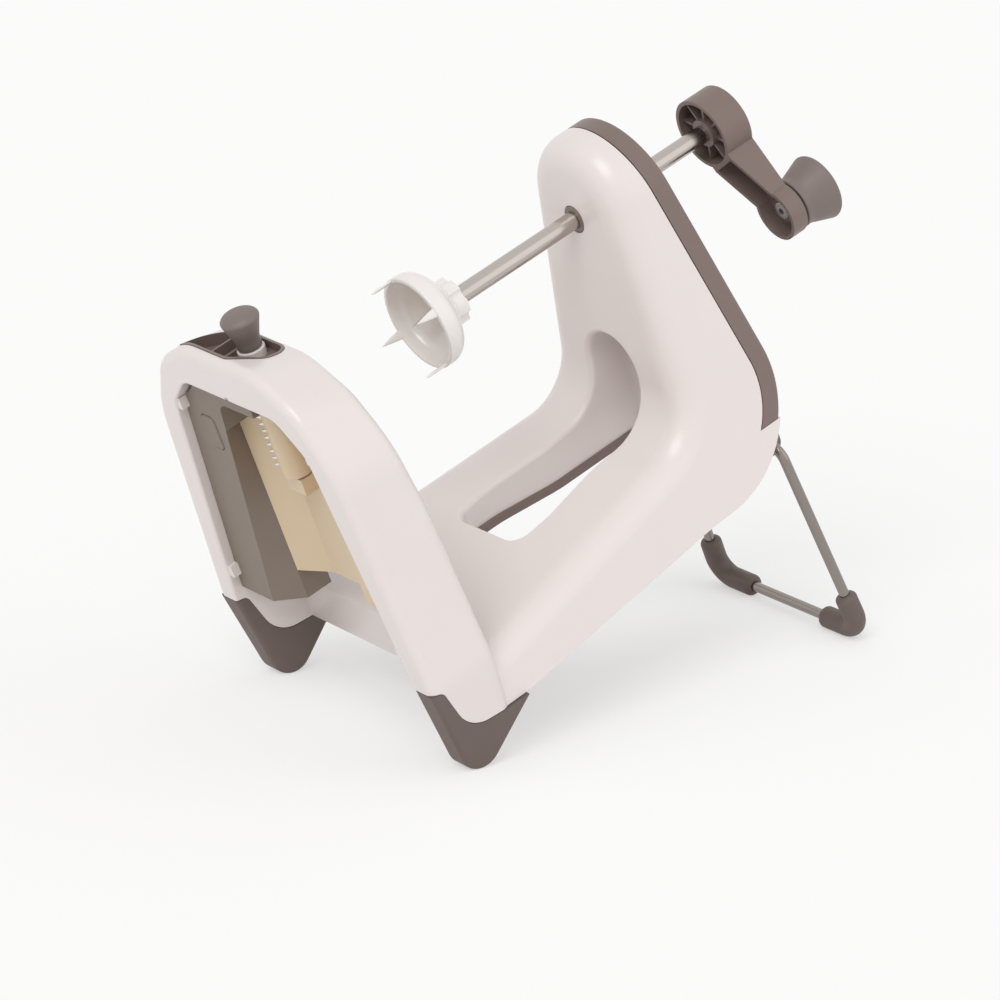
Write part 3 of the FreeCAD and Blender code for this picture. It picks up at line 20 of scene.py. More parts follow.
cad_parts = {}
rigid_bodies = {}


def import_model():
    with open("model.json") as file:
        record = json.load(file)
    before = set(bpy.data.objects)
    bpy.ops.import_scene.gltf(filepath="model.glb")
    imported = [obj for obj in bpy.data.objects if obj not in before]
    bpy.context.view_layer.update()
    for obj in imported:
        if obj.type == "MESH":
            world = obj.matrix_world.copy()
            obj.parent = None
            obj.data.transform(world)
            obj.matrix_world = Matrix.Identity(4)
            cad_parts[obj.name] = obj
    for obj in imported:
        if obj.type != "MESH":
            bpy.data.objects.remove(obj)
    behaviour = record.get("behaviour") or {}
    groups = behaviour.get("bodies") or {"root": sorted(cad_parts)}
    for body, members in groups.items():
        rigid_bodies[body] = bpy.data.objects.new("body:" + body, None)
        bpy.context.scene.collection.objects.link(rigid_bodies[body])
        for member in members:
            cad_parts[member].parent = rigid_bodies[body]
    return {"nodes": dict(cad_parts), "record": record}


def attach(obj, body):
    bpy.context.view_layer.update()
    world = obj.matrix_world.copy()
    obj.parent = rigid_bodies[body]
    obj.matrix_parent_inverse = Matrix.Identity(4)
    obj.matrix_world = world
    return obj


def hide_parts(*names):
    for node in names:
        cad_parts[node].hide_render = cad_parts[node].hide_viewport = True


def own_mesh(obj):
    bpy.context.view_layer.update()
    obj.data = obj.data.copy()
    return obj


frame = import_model()
LOG = logging.getLogger("spiralizer")
MM = 0.001


# ------------------------------------------------------------------ shader graph


class Wire:
    """An output socket that takes part in sums; each operator adds its Math node."""

    def __init__(self, graph: "Graph", socket: bpy.types.NodeSocket) -> None:
        """Hold the socket and the graph that it belongs to."""
        self.graph = graph
        self.socket = socket

    def _join(self, operation: str, first: object, second: object) -> "Wire":
        """Add one Math node.

        Args:
            operation: Name of the Math node's operation.
            first: A wire or a number.
            second: A wire or a number.

        Returns:
            The node's value.
        """
        return self.graph.node("ShaderNodeMath", {"operation": operation}, {0: first, 1: second})

    def __add__(self, other: object) -> "Wire":
        """Sum."""
        return self._join("ADD", self, other)

    def __radd__(self, other: object) -> "Wire":
        """Sum, from the right."""
        return self._join("ADD", other, self)

    def __sub__(self, other: object) -> "Wire":
        """Difference."""
        return self._join("SUBTRACT", self, other)

    def __mul__(self, other: object) -> "Wire":
        """Product."""
        return self._join("MULTIPLY", self, other)


class Graph:
    """The nodes of one procedural material, or of the world."""

    def __init__(self, name: str = "", world: bpy.types.World | None = None) -> None:
        """Start an empty material with its output and shader, or an empty world with its output.

        Args:
            name: Name of the material.
            world: World to fill instead.
        """
        if world is not None:
            self.tree = world.node_tree
            self.tree.nodes.clear()
            self.output = self.tree.nodes.new("ShaderNodeOutputWorld")
            return
        self.material = bpy.data.materials.new(name)
        self.material.use_nodes = True
        self.tree = self.material.node_tree
        self.tree.nodes.clear()
        self.output = self.tree.nodes.new("ShaderNodeOutputMaterial")
        self.shader = self.tree.nodes.new("ShaderNodeBsdfPrincipled")
        self.tree.links.new(self.shader.outputs[0], self.output.inputs["Surface"])

    def node(
        self, kind: str, settings: dict | None = None, inputs: dict | None = None, out: object = 0
    ) -> Wire:
        """Add a node.

        Args:
            kind: Type name of the node.
            settings: Attributes that are set first.
            inputs: Values or wires, by input name or number.
            out: Name or number of the output to return.

        Returns:
            The chosen output.
        """
        made = self.tree.nodes.new(kind)
        for name, value in (settings or {}).items():
            setattr(made, name, value)
        for name, value in (inputs or {}).items():
            self.feed(made.inputs[name], value)
        return Wire(self, made.outputs[out])

    def feed(self, socket: bpy.types.NodeSocket, value: object) -> None:
        """Link a wire to a socket, or set the socket's own value.

        Args:
            socket: The input.
            value: A wire, or a value for the socket itself.
        """
        if isinstance(value, Wire):
            self.tree.links.new(value.socket, socket)
        else:
            socket.default_value = value

    def surface(self, **inputs: object) -> None:
        """Feed the shader's sockets; an underscore in a name stands for a space."""
        for name, value in inputs.items():
            self.feed(self.shader.inputs[name.replace("_", " ")], value)

    def seen(self) -> Wire:
        """Tell what is looked at from what gives light.

        Returns:
            One for rays from the camera, off metal or through glass, and zero for light on a surface.
        """
        camera, glossy, through = (
            self.node("ShaderNodeLightPath", out=f"Is {kind} Ray")
            for kind in ("Camera", "Glossy", "Transmission")
        )
        return self.node("ShaderNodeClamp", inputs={"Value": camera + glossy + through})

    def place(self, scale: tuple[float, float, float] = (1, 1, 1)) -> Wire:
        """Object coordinates, scaled along each axis."""
        here = self.node("ShaderNodeTexCoord", out="Object")
        return self.node("ShaderNodeMapping", {"vector_type": "POINT"}, {"Vector": here, "Scale": scale})

    def noise(self, where: Wire, scale: float, detail: float = 2.0, rough: float = 0.5) -> Wire:
        """Noise over a place.

        Args:
            where: The coordinates.
            scale: Cells per metre.
            detail: Number of finer layers.
            rough: Weight of each finer layer.

        Returns:
            A value from 0 to 1.
        """
        return self.node(
            "ShaderNodeTexNoise",
            {"noise_dimensions": "3D"},
            {"Vector": where, "Scale": scale, "Detail": detail, "Roughness": rough},
        )

    def tint(self, amount: Wire, low: tuple, high: tuple) -> Wire:
        """Blend two colours.

        Args:
            amount: A value from 0 to 1.
            low: Colour at 0.
            high: Colour at 1.

        Returns:
            The colour.
        """
        return self.node(
            "ShaderNodeMix",
            {"data_type": "RGBA", "blend_type": "MIX", "clamp_factor": True},
            {0: amount, 6: (*low, 1.0), 7: (*high, 1.0)},
            out=2,
        )

    def bump(self, height: Wire, distance: float) -> Wire:
        """Normal from a height at full strength; distance is in metres."""
        inputs = {"Height": height, "Distance": distance, "Strength": 1.0}
        return self.node("ShaderNodeBump", inputs=inputs, out="Normal")


# ------------------------------------------------------------------ finishes


@dataclass(frozen=True)
class Moulding:
    """Moulded plastic or rubber: a colour that drifts a little, and a fine grain."""

    name: str
    colour: tuple[float, float, float]
    rough: float
    drift: float
    grain_scale: float
    grain_depth: float
    coat: float = 0.0
    coat_rough: float = 0.12
    specular: float = 0.5
    drift_scale: float = 22.0
    mottle_scale: float = 140.0
    mottle_share: float = 0.22

    def make(self) -> bpy.types.Material:
        """Build the material: slow colour drift, roughness mottling and grain as bump.

        Returns:
            The material.
        """
        graph = Graph(self.name)
        where = graph.place()
        slow = graph.noise(where, self.drift_scale, 3.0)
        fine = graph.noise(where, self.grain_scale, 2.0, 0.6)
        low = tuple(c * (1 - self.drift) for c in self.colour)
        high = tuple(min(1.0, c * (1 + self.drift)) for c in self.colour)
        mottle = graph.noise(where, self.mottle_scale, 2.0)
        graph.surface(
            Base_Color=graph.tint(slow, low, high),
            Roughness=self.rough + (mottle - 0.5) * (self.rough * self.mottle_share),
            Normal=graph.bump(fine, self.grain_depth),
            Coat_Weight=self.coat,
            Coat_Roughness=self.coat_rough,
            Specular_IOR_Level=self.specular,
        )
        return graph.material


@dataclass(frozen=True)
class DrawnSteel:
    """Steel rod or sheet, with fine lines along one direction and slight streaks in its gloss."""

    name: str
    colour: tuple[float, float, float]
    rough: float
    stretch: tuple[float, float, float] = (1.0, 1.0, 1.0)
    line_scale: float = 1600.0
    line_depth: float = 0.000006
    line_share: float = 0.5
    streak_scale: float = 224.0
    streak_dark: float = 0.93

    def make(self) -> bpy.types.Material:
        """Build the material: noise stretched along the drawing direction drives roughness and bump.

        Returns:
            The material.
        """
        graph = Graph(self.name)
        where = graph.place(tuple(1 / length for length in self.stretch))
        lines = graph.noise(where, self.line_scale, 2.0, 0.55)
        streaks = graph.noise(where, self.streak_scale, 2.0)
        graph.surface(
            Base_Color=graph.tint(streaks, tuple(c * self.streak_dark for c in self.colour), self.colour),
            Metallic=1.0,
            Roughness=self.rough + (lines - 0.5) * (self.rough * self.line_share),
            Normal=graph.bump(lines, self.line_depth),
        )
        return graph.material


class Finish(Enum):
    """The finishes of the machine."""

    HOUSING = Moulding(
        "housing_white", (0.79, 0.722, 0.702), rough=0.33, drift=0.012, grain_scale=1500.0, grain_depth=6e-6,
        coat=0.12,
    )
    CUP = Moulding(
        "cup_white", (0.83, 0.79, 0.76), rough=0.2, drift=0.01, grain_scale=900.0, grain_depth=3e-6, coat=0.3
    )
    CREAM = Moulding(
        "plate_cream", (0.68, 0.538, 0.365), rough=0.32, drift=0.02, grain_scale=1500.0, grain_depth=6e-6
    )
    TRIM = Moulding(
        "trim_taupe", (0.197, 0.143, 0.126), rough=0.42, drift=0.05, grain_scale=2600.0, grain_depth=2e-5
    )
    CARTRIDGE = Moulding(
        "cartridge_taupe", (0.21, 0.166, 0.132), rough=0.45, drift=0.05, grain_scale=2600.0, grain_depth=2e-5
    )
    KNOB = Moulding(
        "knob_taupe", (0.195, 0.155, 0.142), rough=0.5, drift=0.06, grain_scale=2200.0, grain_depth=3e-5
    )
    RUBBER = Moulding(
        "foot_rubber", (0.144, 0.109, 0.097), rough=0.55, drift=0.06, grain_scale=1800.0, grain_depth=3e-5,
        specular=0.4,
    )
    SHAFT = DrawnSteel("shaft_steel", (0.50, 0.455, 0.42), rough=0.2, stretch=(14.0, 1.0, 1.0))
    WIRE = DrawnSteel("wire_steel", (0.30, 0.262, 0.238), rough=0.17, stretch=(1.0, 1.0, 10.0))
    BLADE = DrawnSteel("blade_steel", (0.78, 0.78, 0.78), rough=0.2, stretch=(1.0, 12.0, 1.0))
    SCREW = DrawnSteel("screw_steel", (0.55, 0.55, 0.55), rough=0.3)


NODES_OF: dict[Finish, tuple[str, ...]] = {
    Finish.HOUSING: ("main_housing", "selector_collar"),
    Finish.CUP: ("food_holder", "holder_collar"),
    Finish.CREAM: ("blade_plate", "blade_drum"),
    Finish.TRIM: (
        "rear_cover", "base_cover", "top_tray", "stand_bracket_near", "stand_bracket_far", "bearing_sleeve",
        "crank_arm", "hub_screw",
    ),
    Finish.CARTRIDGE: ("cartridge_frame", "release_button"),
    Finish.KNOB: ("crank_knob", "knob_cap", "selector_knob"),
    Finish.RUBBER: ("foot_near", "foot_far", "stand_foot_near", "stand_foot_far"),
    Finish.SHAFT: ("drive_shaft",),
    Finish.WIRE: ("stand_wire",),
    Finish.BLADE: ("centre_spike", "straight_blade", "coarse_teeth", "fine_teeth"),
    Finish.SCREW: (
        "rear_cover_screws", "base_cover_screws", "knob_axle", "holder_pin", "blade_screws", "button_spring",
    ),
}
FINISH_OF = {node: finish for finish, nodes in NODES_OF.items() for node in nodes}


class Paints:
    """The materials made so far, one per finish."""

    def __init__(self) -> None:
        """Start with none."""
        self.made: dict[Finish, bpy.types.Material] = {}

    def dress(self, target: bpy.types.Object, node: str) -> None:
        """Give an object the finish of a node; the material is made on first use.

        Args:
            target: The object.
            node: Node whose finish it takes.
        """
        finish = FINISH_OF[node]
        if finish not in self.made:
            self.made[finish] = finish.value.make()
        target.data.materials.clear()
        target.data.materials.append(self.made[finish])
        LOG.info("%s takes %s", target.name, finish.name)


# ------------------------------------------------------------------ places


@dataclass(frozen=True)
class Lean:
    """Machine frame in millimetres to row frame in metres: lean back about Y, then rise and centre."""

    tilt_deg: float = 21.725
    rise: float = 166.986
    centre: float = 177.093

    def turn(self) -> np.ndarray:
        """Rotation of the machine frame.

        Returns:
            A 3 by 3 array.
        """
        angle = math.radians(self.tilt_deg)
        sine, cosine = math.sin(angle), math.cos(angle)
        return np.array([[cosine, 0, -sine], [0, 1, 0], [sine, 0, cosine]])

    def points(self, xyz: np.ndarray) -> np.ndarray:
        """Points of the machine frame, in the row frame."""
        return (np.asarray(xyz, float) @ self.turn().T + np.array([-self.centre, 0, self.rise])) * MM

    def matrix(self, origin: tuple, axes: np.ndarray) -> Matrix:
        """Pose of a camera or lamp that is given in the machine frame.

        Args:
            origin: Its place, in millimetres.
            axes: Its right, up and back directions as rows.

        Returns:
            The pose in the row frame.
        """
        pose = np.eye(4)
        pose[:3, :3] = self.turn() @ np.asarray(axes, float).T
        pose[:3, 3] = self.points(np.asarray(origin))
        return Matrix(pose.tolist())


# ------------------------------------------------------------------ studio


@dataclass(frozen=True)
class Lamp:
    """A wide soft light from far away."""

    name: str
    source: tuple[float, float, float]
    strength: float
    spread_deg: float

    def hang(self) -> None:
        """Make the lamp: it shines from its source on the machine, as wide as its spread."""
        data = bpy.data.lights.new(self.name, "SUN")
        data.energy = self.strength
        data.angle = math.radians(self.spread_deg)
        lamp = bpy.data.objects.new(self.name, data)
        lamp.matrix_world = (-Vector(self.source)).to_track_quat("-Z", "Y").to_matrix().to_4x4()
        bpy.context.scene.collection.objects.link(lamp)


@dataclass(frozen=True)
class Studio:
    """Pale floor, soft lamps, light surroundings and the camera."""

    lean: Lean
    camera_place: tuple[float, float, float] = (-845.737, -1824.234, 1069.158)
    camera_axes: tuple[tuple[float, float, float], ...] = (
        (0.75015959, -0.59189814, -0.2948172),
        (0.52033944, 0.2532563, 0.81554161),
        (-0.40805325, -0.76519138, 0.49797059),
    )
    lens: float = 162.0
    sensor: float = 36.0
    sight: float = 30.0
    floor_half: float = 6.0
    floor_rough: float = 0.9
    floor_glow: float = 0.5
    surroundings: float = 0.64
    lamps: tuple[Lamp, ...] = (
        Lamp("key", (-0.62, -0.42, 0.78), 1.1, 34.0),
        Lamp("fill", (0.55, -0.75, 0.5), 0.32, 60.0),
    )

    def build(self) -> None:
        """Make the camera, the world, the floor and the lamps."""
        self.place_camera()
        self.light_world()
        self.lay_floor()
        for lamp in self.lamps:
            lamp.hang()

    def place_camera(self) -> None:
        """Camera in front of the near corner, without shift."""
        data = bpy.data.cameras.new("camera")
        data.sensor_width = self.sensor
        data.lens = self.lens
        data.clip_end = self.sight
        camera = bpy.data.objects.new("camera", data)
        camera.matrix_world = self.lean.matrix(self.camera_place, np.array(self.camera_axes))
        bpy.context.scene.collection.objects.link(camera)
        bpy.context.scene.camera = camera

    def light_world(self) -> None:
        """Surroundings that look white, also in metal, and light the machine at a plain level."""
        world = bpy.data.worlds.new("surroundings")
        bpy.context.scene.world = world
        world.use_nodes = True
        graph = Graph(world=world)
        kind = "ShaderNodeBackground"
        white = graph.node(kind, inputs={"Color": (1, 1, 1, 1), "Strength": 1.0})
        soft = graph.node(kind, inputs={"Color": (1, 0.995, 0.99, 1), "Strength": self.surroundings})
        both = graph.node("ShaderNodeMixShader", inputs={0: graph.seen(), 1: soft, 2: white})
        graph.feed(graph.output.inputs["Surface"], both)

    def lay_floor(self) -> None:
        """A wide pale floor that keeps the shadow."""
        steps = np.linspace(-self.floor_half, self.floor_half, 9)
        across, along = np.meshgrid(steps, steps, indexing="ij")
        ground = Sheet(np.stack([across, along, np.zeros_like(across)], axis=-1), False, False)
        data = bpy.data.meshes.new("floor")
        data.from_pydata(ground.points.reshape(-1, 3).tolist(), [], Surfaces.quads(ground).tolist())
        floor = bpy.data.objects.new("floor", data)
        bpy.context.scene.collection.objects.link(floor)
        graph = Graph("floor_white")
        mottle = graph.noise(graph.place(), 3.0, 2.0)
        colour = graph.tint(mottle, (0.985, 0.985, 0.985), (1.0, 1.0, 1.0))
        graph.surface(Base_Color=colour, Roughness=self.floor_rough, Specular_IOR_Level=0.0)
        glow = graph.node("ShaderNodeEmission", inputs={"Color": (1, 1, 1, 1), "Strength": 1.0})
        lit = Wire(graph, graph.shader.outputs[0])
        share = graph.seen() * self.floor_glow
        both = graph.node("ShaderNodeMixShader", inputs={0: share, 1: lit, 2: glow})
        graph.feed(graph.output.inputs["Surface"], both)
        floor.data.materials.append(graph.material)


# ------------------------------------------------------------------ surfaces


@dataclass(frozen=True)
class Sheet:
    """A grid of points in millimetres; a wrapped direction joins its last line to its first."""

    points: np.ndarray
    wrap_rows: bool = False
    wrap_columns: bool = True


class Surfaces:
    """Grids of points, and the meshes made of them."""

    SAME_POINT = 2e-7  # points that lie nearer than this, in metres, are one

    @staticmethod
    def rounded(corners: list[tuple], arc: int = 10, closed: bool = False) -> np.ndarray:
        """A line through corners, each with its own radius.

        On an arc that spans the angle p about its centre, the point at share t is the centre plus
        (from sin((1 - t) p) + to sin(t p)) / sin(p), where from and to are its end radii.

        Args:
            corners: Tuples of two coordinates and, where the corner is rounded, a radius.
            arc: Number of points on each arc.
            closed: Whether the line returns to its start.

        Returns:
            The points, one per row.
        """
        places = np.array([corner[:2] for corner in corners], float)
        radii = [corner[2] if len(corner) > 2 else 0.0 for corner in corners]
        share = np.linspace(0, 1, arc)[:, None]
        line = []
        for number, (place, radius) in enumerate(zip(places, radii)):
            end = not closed and number in (0, len(places) - 1)
            if end or radius <= 0:
                line.append(place[None])
                continue
            back = places[number - 1] - place
            ahead = places[(number + 1) % len(places)] - place
            long_back, long_ahead = np.linalg.norm(back), np.linalg.norm(ahead)
            back, ahead = back / long_back, ahead / long_ahead
            half = math.acos(float(np.clip(back @ ahead, -1, 1))) / 2
            reach = min(radius / math.tan(half), 0.49 * long_back, 0.49 * long_ahead)
            radius = reach * math.tan(half)
            middle = back + ahead
            centre = place + middle / np.linalg.norm(middle) * (radius / math.sin(half))
            start, stop = place + back * reach - centre, place + ahead * reach - centre
            span = math.pi - 2 * half
            sweep = start * np.sin((1 - share) * span) + stop * np.sin(share * span)
            line.append(centre + sweep / math.sin(span))
        return np.vstack(line)

    @staticmethod
    def turned(profile: np.ndarray, steps: int = 96, closed: bool = False) -> Sheet:
        """A turned surface about X: (x, r cos a, r sin a) for each point (x, r) and each angle a.

        Args:
            profile: Points (x, r).
            steps: Number of angles.
            closed: Whether the profile is a closed ring.

        Returns:
            The sheet.
        """
        angle = np.linspace(0, 2 * np.pi, steps, endpoint=False)
        x, radius = profile[:, :1], profile[:, 1:]
        points = np.stack([x + 0 * angle, radius * np.cos(angle), radius * np.sin(angle)], axis=-1)
        return Sheet(points, wrap_rows=closed)

    @staticmethod
    def tube(path: np.ndarray, side: np.ndarray, wide: np.ndarray, high: np.ndarray, steps: int) -> Sheet:
        """A tube: path + wide cos a side + high sin a (direction of the path crossed with side).

        Args:
            path: Points along the middle.
            side: Unit direction across the path, one for all points or one each.
            wide: Half width along the side direction, one for each point.
            high: Half width across it, one for each point.
            steps: Number of angles round the tube.

        Returns:
            The sheet.
        """
        run = np.gradient(path, axis=0)
        length = np.linalg.norm(run, axis=1, keepdims=True)
        run = run / np.where(length > 1e-9, length, 1)
        side = np.broadcast_to(side, path.shape)
        up = np.cross(run, side)
        angle = np.linspace(0, 2 * np.pi, steps, endpoint=False)[None, :, None]
        across = wide[:, None, None] * np.cos(angle) * side[:, None]
        upward = high[:, None, None] * np.sin(angle) * up[:, None]
        return Sheet(path[:, None] + across + upward)

    @staticmethod
    def even(line: np.ndarray, step: float) -> np.ndarray:
        """The same line with points at even steps of its length.

        Args:
            line: Points of the line, one per row.
            step: Length of a step.

        Returns:
            The new points.
        """
        along = np.concatenate([[0], np.cumsum(np.linalg.norm(np.diff(line, axis=0), axis=1))])
        marks = np.linspace(0, along[-1], max(int(along[-1] / step), 2))
        return np.stack([np.interp(marks, along, line[:, axis]) for axis in range(line.shape[1])], axis=-1)

    @staticmethod
    def quads(sheet: Sheet, start: int = 0) -> np.ndarray:
        """Number the corners of a sheet's quads.

        Args:
            sheet: The sheet.
            start: Number of its first point.

        Returns:
            Four corner numbers for each quad.
        """
        rows, columns = sheet.points.shape[:2]
        number = start + np.arange(rows * columns).reshape(rows, columns)
        if sheet.wrap_rows:
            number = np.vstack([number, number[:1]])
        if sheet.wrap_columns:
            number = np.hstack([number, number[:, :1]])
        corners = [number[:-1, :-1], number[1:, :-1], number[1:, 1:], number[:-1, 1:]]
        return np.stack(corners, axis=-1).reshape(-1, 4)

    @classmethod
    def piece(cls, name: str, sheets: list[Sheet], place: "Place", sharp: float = 32.0) -> bpy.types.Object:
        """One object of several sheets; poles and seams are closed and faces look outward.

        Args:
            name: Name of the piece.
            sheets: Its sheets.
            place: Where the piece stands.
            sharp: Edges steeper than this stay sharp, in degrees.

        Returns:
            The object, linked to the scene.
        """
        counts = np.cumsum([0] + [sheet.points.shape[0] * sheet.points.shape[1] for sheet in sheets])
        verts = np.vstack([place.apply(sheet.points.reshape(-1, 3)) for sheet in sheets])
        faces = np.vstack([cls.quads(sheet, start) for sheet, start in zip(sheets, counts)])
        data = bpy.data.meshes.new(name)
        data.from_pydata(verts.tolist(), [], faces.tolist())
        shell = bmesh.new()
        shell.from_mesh(data)
        bmesh.ops.remove_doubles(shell, verts=shell.verts, dist=cls.SAME_POINT)
        bmesh.ops.recalc_face_normals(shell, faces=shell.faces)
        shell.to_mesh(data)
        shell.free()
        data.shade_smooth()
        data.set_sharp_from_angle(angle=math.radians(sharp))
        made = bpy.data.objects.new(name, data)
        bpy.context.scene.collection.objects.link(made)
        LOG.info("piece %s: %d faces", name, len(data.polygons))
        return made


@dataclass(frozen=True)
class Place:
    """Where a piece drawn about its own axes stands in the machine."""

    lean: Lean
    turn_x: float = 0.0
    turn_y: float = 0.0
    origin: tuple[float, float, float] = (0.0, 0.0, 0.0)
    upright: bool = False

    def apply(self, points: np.ndarray) -> np.ndarray:
        """Points of the piece, in the row frame.

        An upright piece is drawn along X and set along Z first; the turn about Y, the move to the
        origin and the turn about the shaft follow.

        Args:
            points: Points in millimetres.

        Returns:
            Points in metres.
        """
        if self.upright:
            points = points[:, [2, 1, 0]]
        about_y, about_x = math.radians(self.turn_y), math.radians(self.turn_x)
        x, y, z = points.T
        sine, cosine = math.sin(about_y), math.cos(about_y)
        x, z = x * cosine + z * sine, z * cosine - x * sine
        x, y, z = x + self.origin[0], y + self.origin[1], z + self.origin[2]
        sine, cosine = math.sin(about_x), math.cos(about_x)
        y, z = y * cosine - z * sine, y * sine + z * cosine
        return self.lean.points(np.stack([x, y, z], axis=-1))


@dataclass(frozen=True)
class Bench:
    """What every sub-assembly needs: the lean, the finishes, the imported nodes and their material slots."""

    lean: Lean
    paints: Paints
    nodes: dict[str, bpy.types.Object]
    slots: dict[str, str]

    def dress_nodes(self) -> None:
        """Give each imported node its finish."""
        for name, node in sorted(self.nodes.items()):
            self.paints.dress(node, name)

    def fit(self, name: str, node: str, sheets: list[Sheet], place: Place) -> bpy.types.Object:
        """Make a piece in the stead of a node, on the same body and with the same finish.

        Args:
            name: Name of the piece.
            node: Node that it replaces.
            sheets: Sheets of the piece.
            place: Where it stands.

        Returns:
            The piece.
        """
        made = Surfaces.piece(name, sheets, place)
        self.paints.dress(made, node)
        body = self.nodes[node].parent.name.split(":", 1)[1]
        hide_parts(node)
        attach(made, body)
        return made


# ------------------------------------------------------------------ sub-assemblies


@dataclass(frozen=True)
class CrankHandle:
    """The flared handle that turns on its axle at the end of the crank."""

    bench: Bench
    crank_turn: float = -34.2
    throw: float = 57.8
    start: float = 336.9
    length: float = 21.0
    foot_radius: float = 14.4
    foot_length: float = 4.0
    end_radius: float = 19.5
    bore: float = 3.55
    cap_radius: float = 12.0
    cap_gap: float = 0.1
    cap_seat: float = 2.0
    screw_radius: float = 8.0
    screw_depth: float = 6.4

    def build(self) -> None:
        """Make the grip and its cap."""
        place = Place(self.bench.lean, self.crank_turn, 0.0, (0.0, 0.0, -self.throw))
        end = self.start + self.length
        grip = [
            (self.start, self.bore),
            (self.start, self.foot_radius, 1.0),
            (self.start + self.foot_length, self.foot_radius - 0.5, 14),
            (end - 0.5, self.end_radius, 1.8),
            (end, self.cap_radius, 0.3),
            (end - self.cap_seat, self.cap_radius),
            (end - self.cap_seat, self.screw_radius),
            (end - self.screw_depth, self.screw_radius),
            (end - self.screw_depth, self.bore),
        ]
        shell = Surfaces.turned(Surfaces.rounded(grip, 14), 120, True)
        self.bench.fit("handle_grip", "crank_knob", [shell], place)
        edge = self.cap_radius - self.cap_gap
        cap = [
            (end - self.cap_seat, 0.0),
            (end - self.cap_seat, edge),
            (end - 0.2, edge, 0.6),
            (end + 0.5, self.cap_radius / 2, 20),
            (end + 0.8, 0.0),
        ]
        lid = Surfaces.turned(Surfaces.rounded(cap, 10), 96)
        self.bench.fit("handle_cap", "knob_cap", [lid], place)


@dataclass(frozen=True)
class DriveLine:
    """The steel shaft through the tower."""

    bench: Bench
    start: float = 134.1
    end: float = 333.1
    radius: float = 5.0
    chamfer: float = 0.6
    rings: int = 40

    def build(self) -> None:
        """Make the rod with its chamfered ends."""
        tip = self.radius - self.chamfer
        along = np.linspace(self.start + self.chamfer, self.end - self.chamfer, self.rings)
        straight = np.column_stack([along, np.full(self.rings, self.radius)])
        front = [(self.start, 0.0), (self.start, tip)]
        rear = [(self.end, tip), (self.end, 0.0)]
        profile = np.vstack([front, straight, rear])
        self.bench.fit("shaft_rod", "drive_shaft", [Surfaces.turned(profile, 72)], Place(self.bench.lean))


@dataclass(frozen=True)
class FoodCup:
    """The domed cup that pushes the vegetable, with its four prongs."""

    bench: Bench
    rim: float = 116.6
    depth: float = 17.5
    radius: float = 27.0
    wall: float = 2.4
    skirt: float = 9.5
    floor_radius: float = 15.0
    turn: float = 60.0
    hole: float = 3.0
    prong_count: int = 4
    prong_length: float = 12.5
    prong_root: float = 4.0
    prong_inset: float = 1.4
    prong_half_root: float = 3.0
    prong_half_rim: float = 2.5
    prong_half_thick: float = 0.8

    def build(self) -> None:
        """Make the cup and its prongs as one piece."""
        floor = self.rim + self.depth
        inner = self.radius - self.wall
        ring = [
            (self.rim, inner, 0.4),
            (self.rim, self.radius, 0.9),
            (self.rim + self.skirt, self.radius, 11),
            (floor, self.floor_radius, 3),
            (floor, self.hole),
            (floor - self.wall, self.hole),
            (floor - self.wall, self.floor_radius - 1, 2),
            (self.rim + self.skirt - 1, inner, 9),
        ]
        bowl = Surfaces.turned(Surfaces.rounded(ring, 14, True), 144, True)
        prongs = [self.prong(2 * math.pi * number / self.prong_count) for number in range(self.prong_count)]
        self.bench.fit("cup_bowl", "food_holder", [bowl, *prongs], Place(self.bench.lean, self.turn))

    def prong(self, angle: float) -> Sheet:
        """One prong: an oval bar that narrows to its tip, at an angle round the cup.

        With t from 0 at the root to 1 at the tip, the half width falls in a straight line up to the
        share 0.27, near the rim, and from there also as (1 - t) / 0.73 to the power 0.8. The half
        thickness falls over the last stretch before the tip.

        Args:
            angle: Where it stands, in radians.

        Returns:
            The sheet.
        """
        t = np.linspace(0, 1, 24)
        near_rim = 0.27
        x = self.rim + self.prong_root - t * (self.prong_length + self.prong_root)
        wide = np.interp(t, (0, near_rim), (self.prong_half_root, self.prong_half_rim))
        wide = wide * np.where(t > near_rim, ((1 - t) / (1 - near_rim)) ** 0.8, 1)
        high = self.prong_half_thick * np.minimum(1, (1 - t) / 0.2 + 0.35)
        wide[[0, -1]], high[[0, -1]] = 0, 0
        out = np.array([0, -math.sin(angle), math.cos(angle)])
        across = np.array([0, out[2], -out[1]])
        path = out * (self.radius - self.prong_inset) + x[:, None] * np.array([1.0, 0, 0])
        return Surfaces.tube(path, across, wide, high, 20)


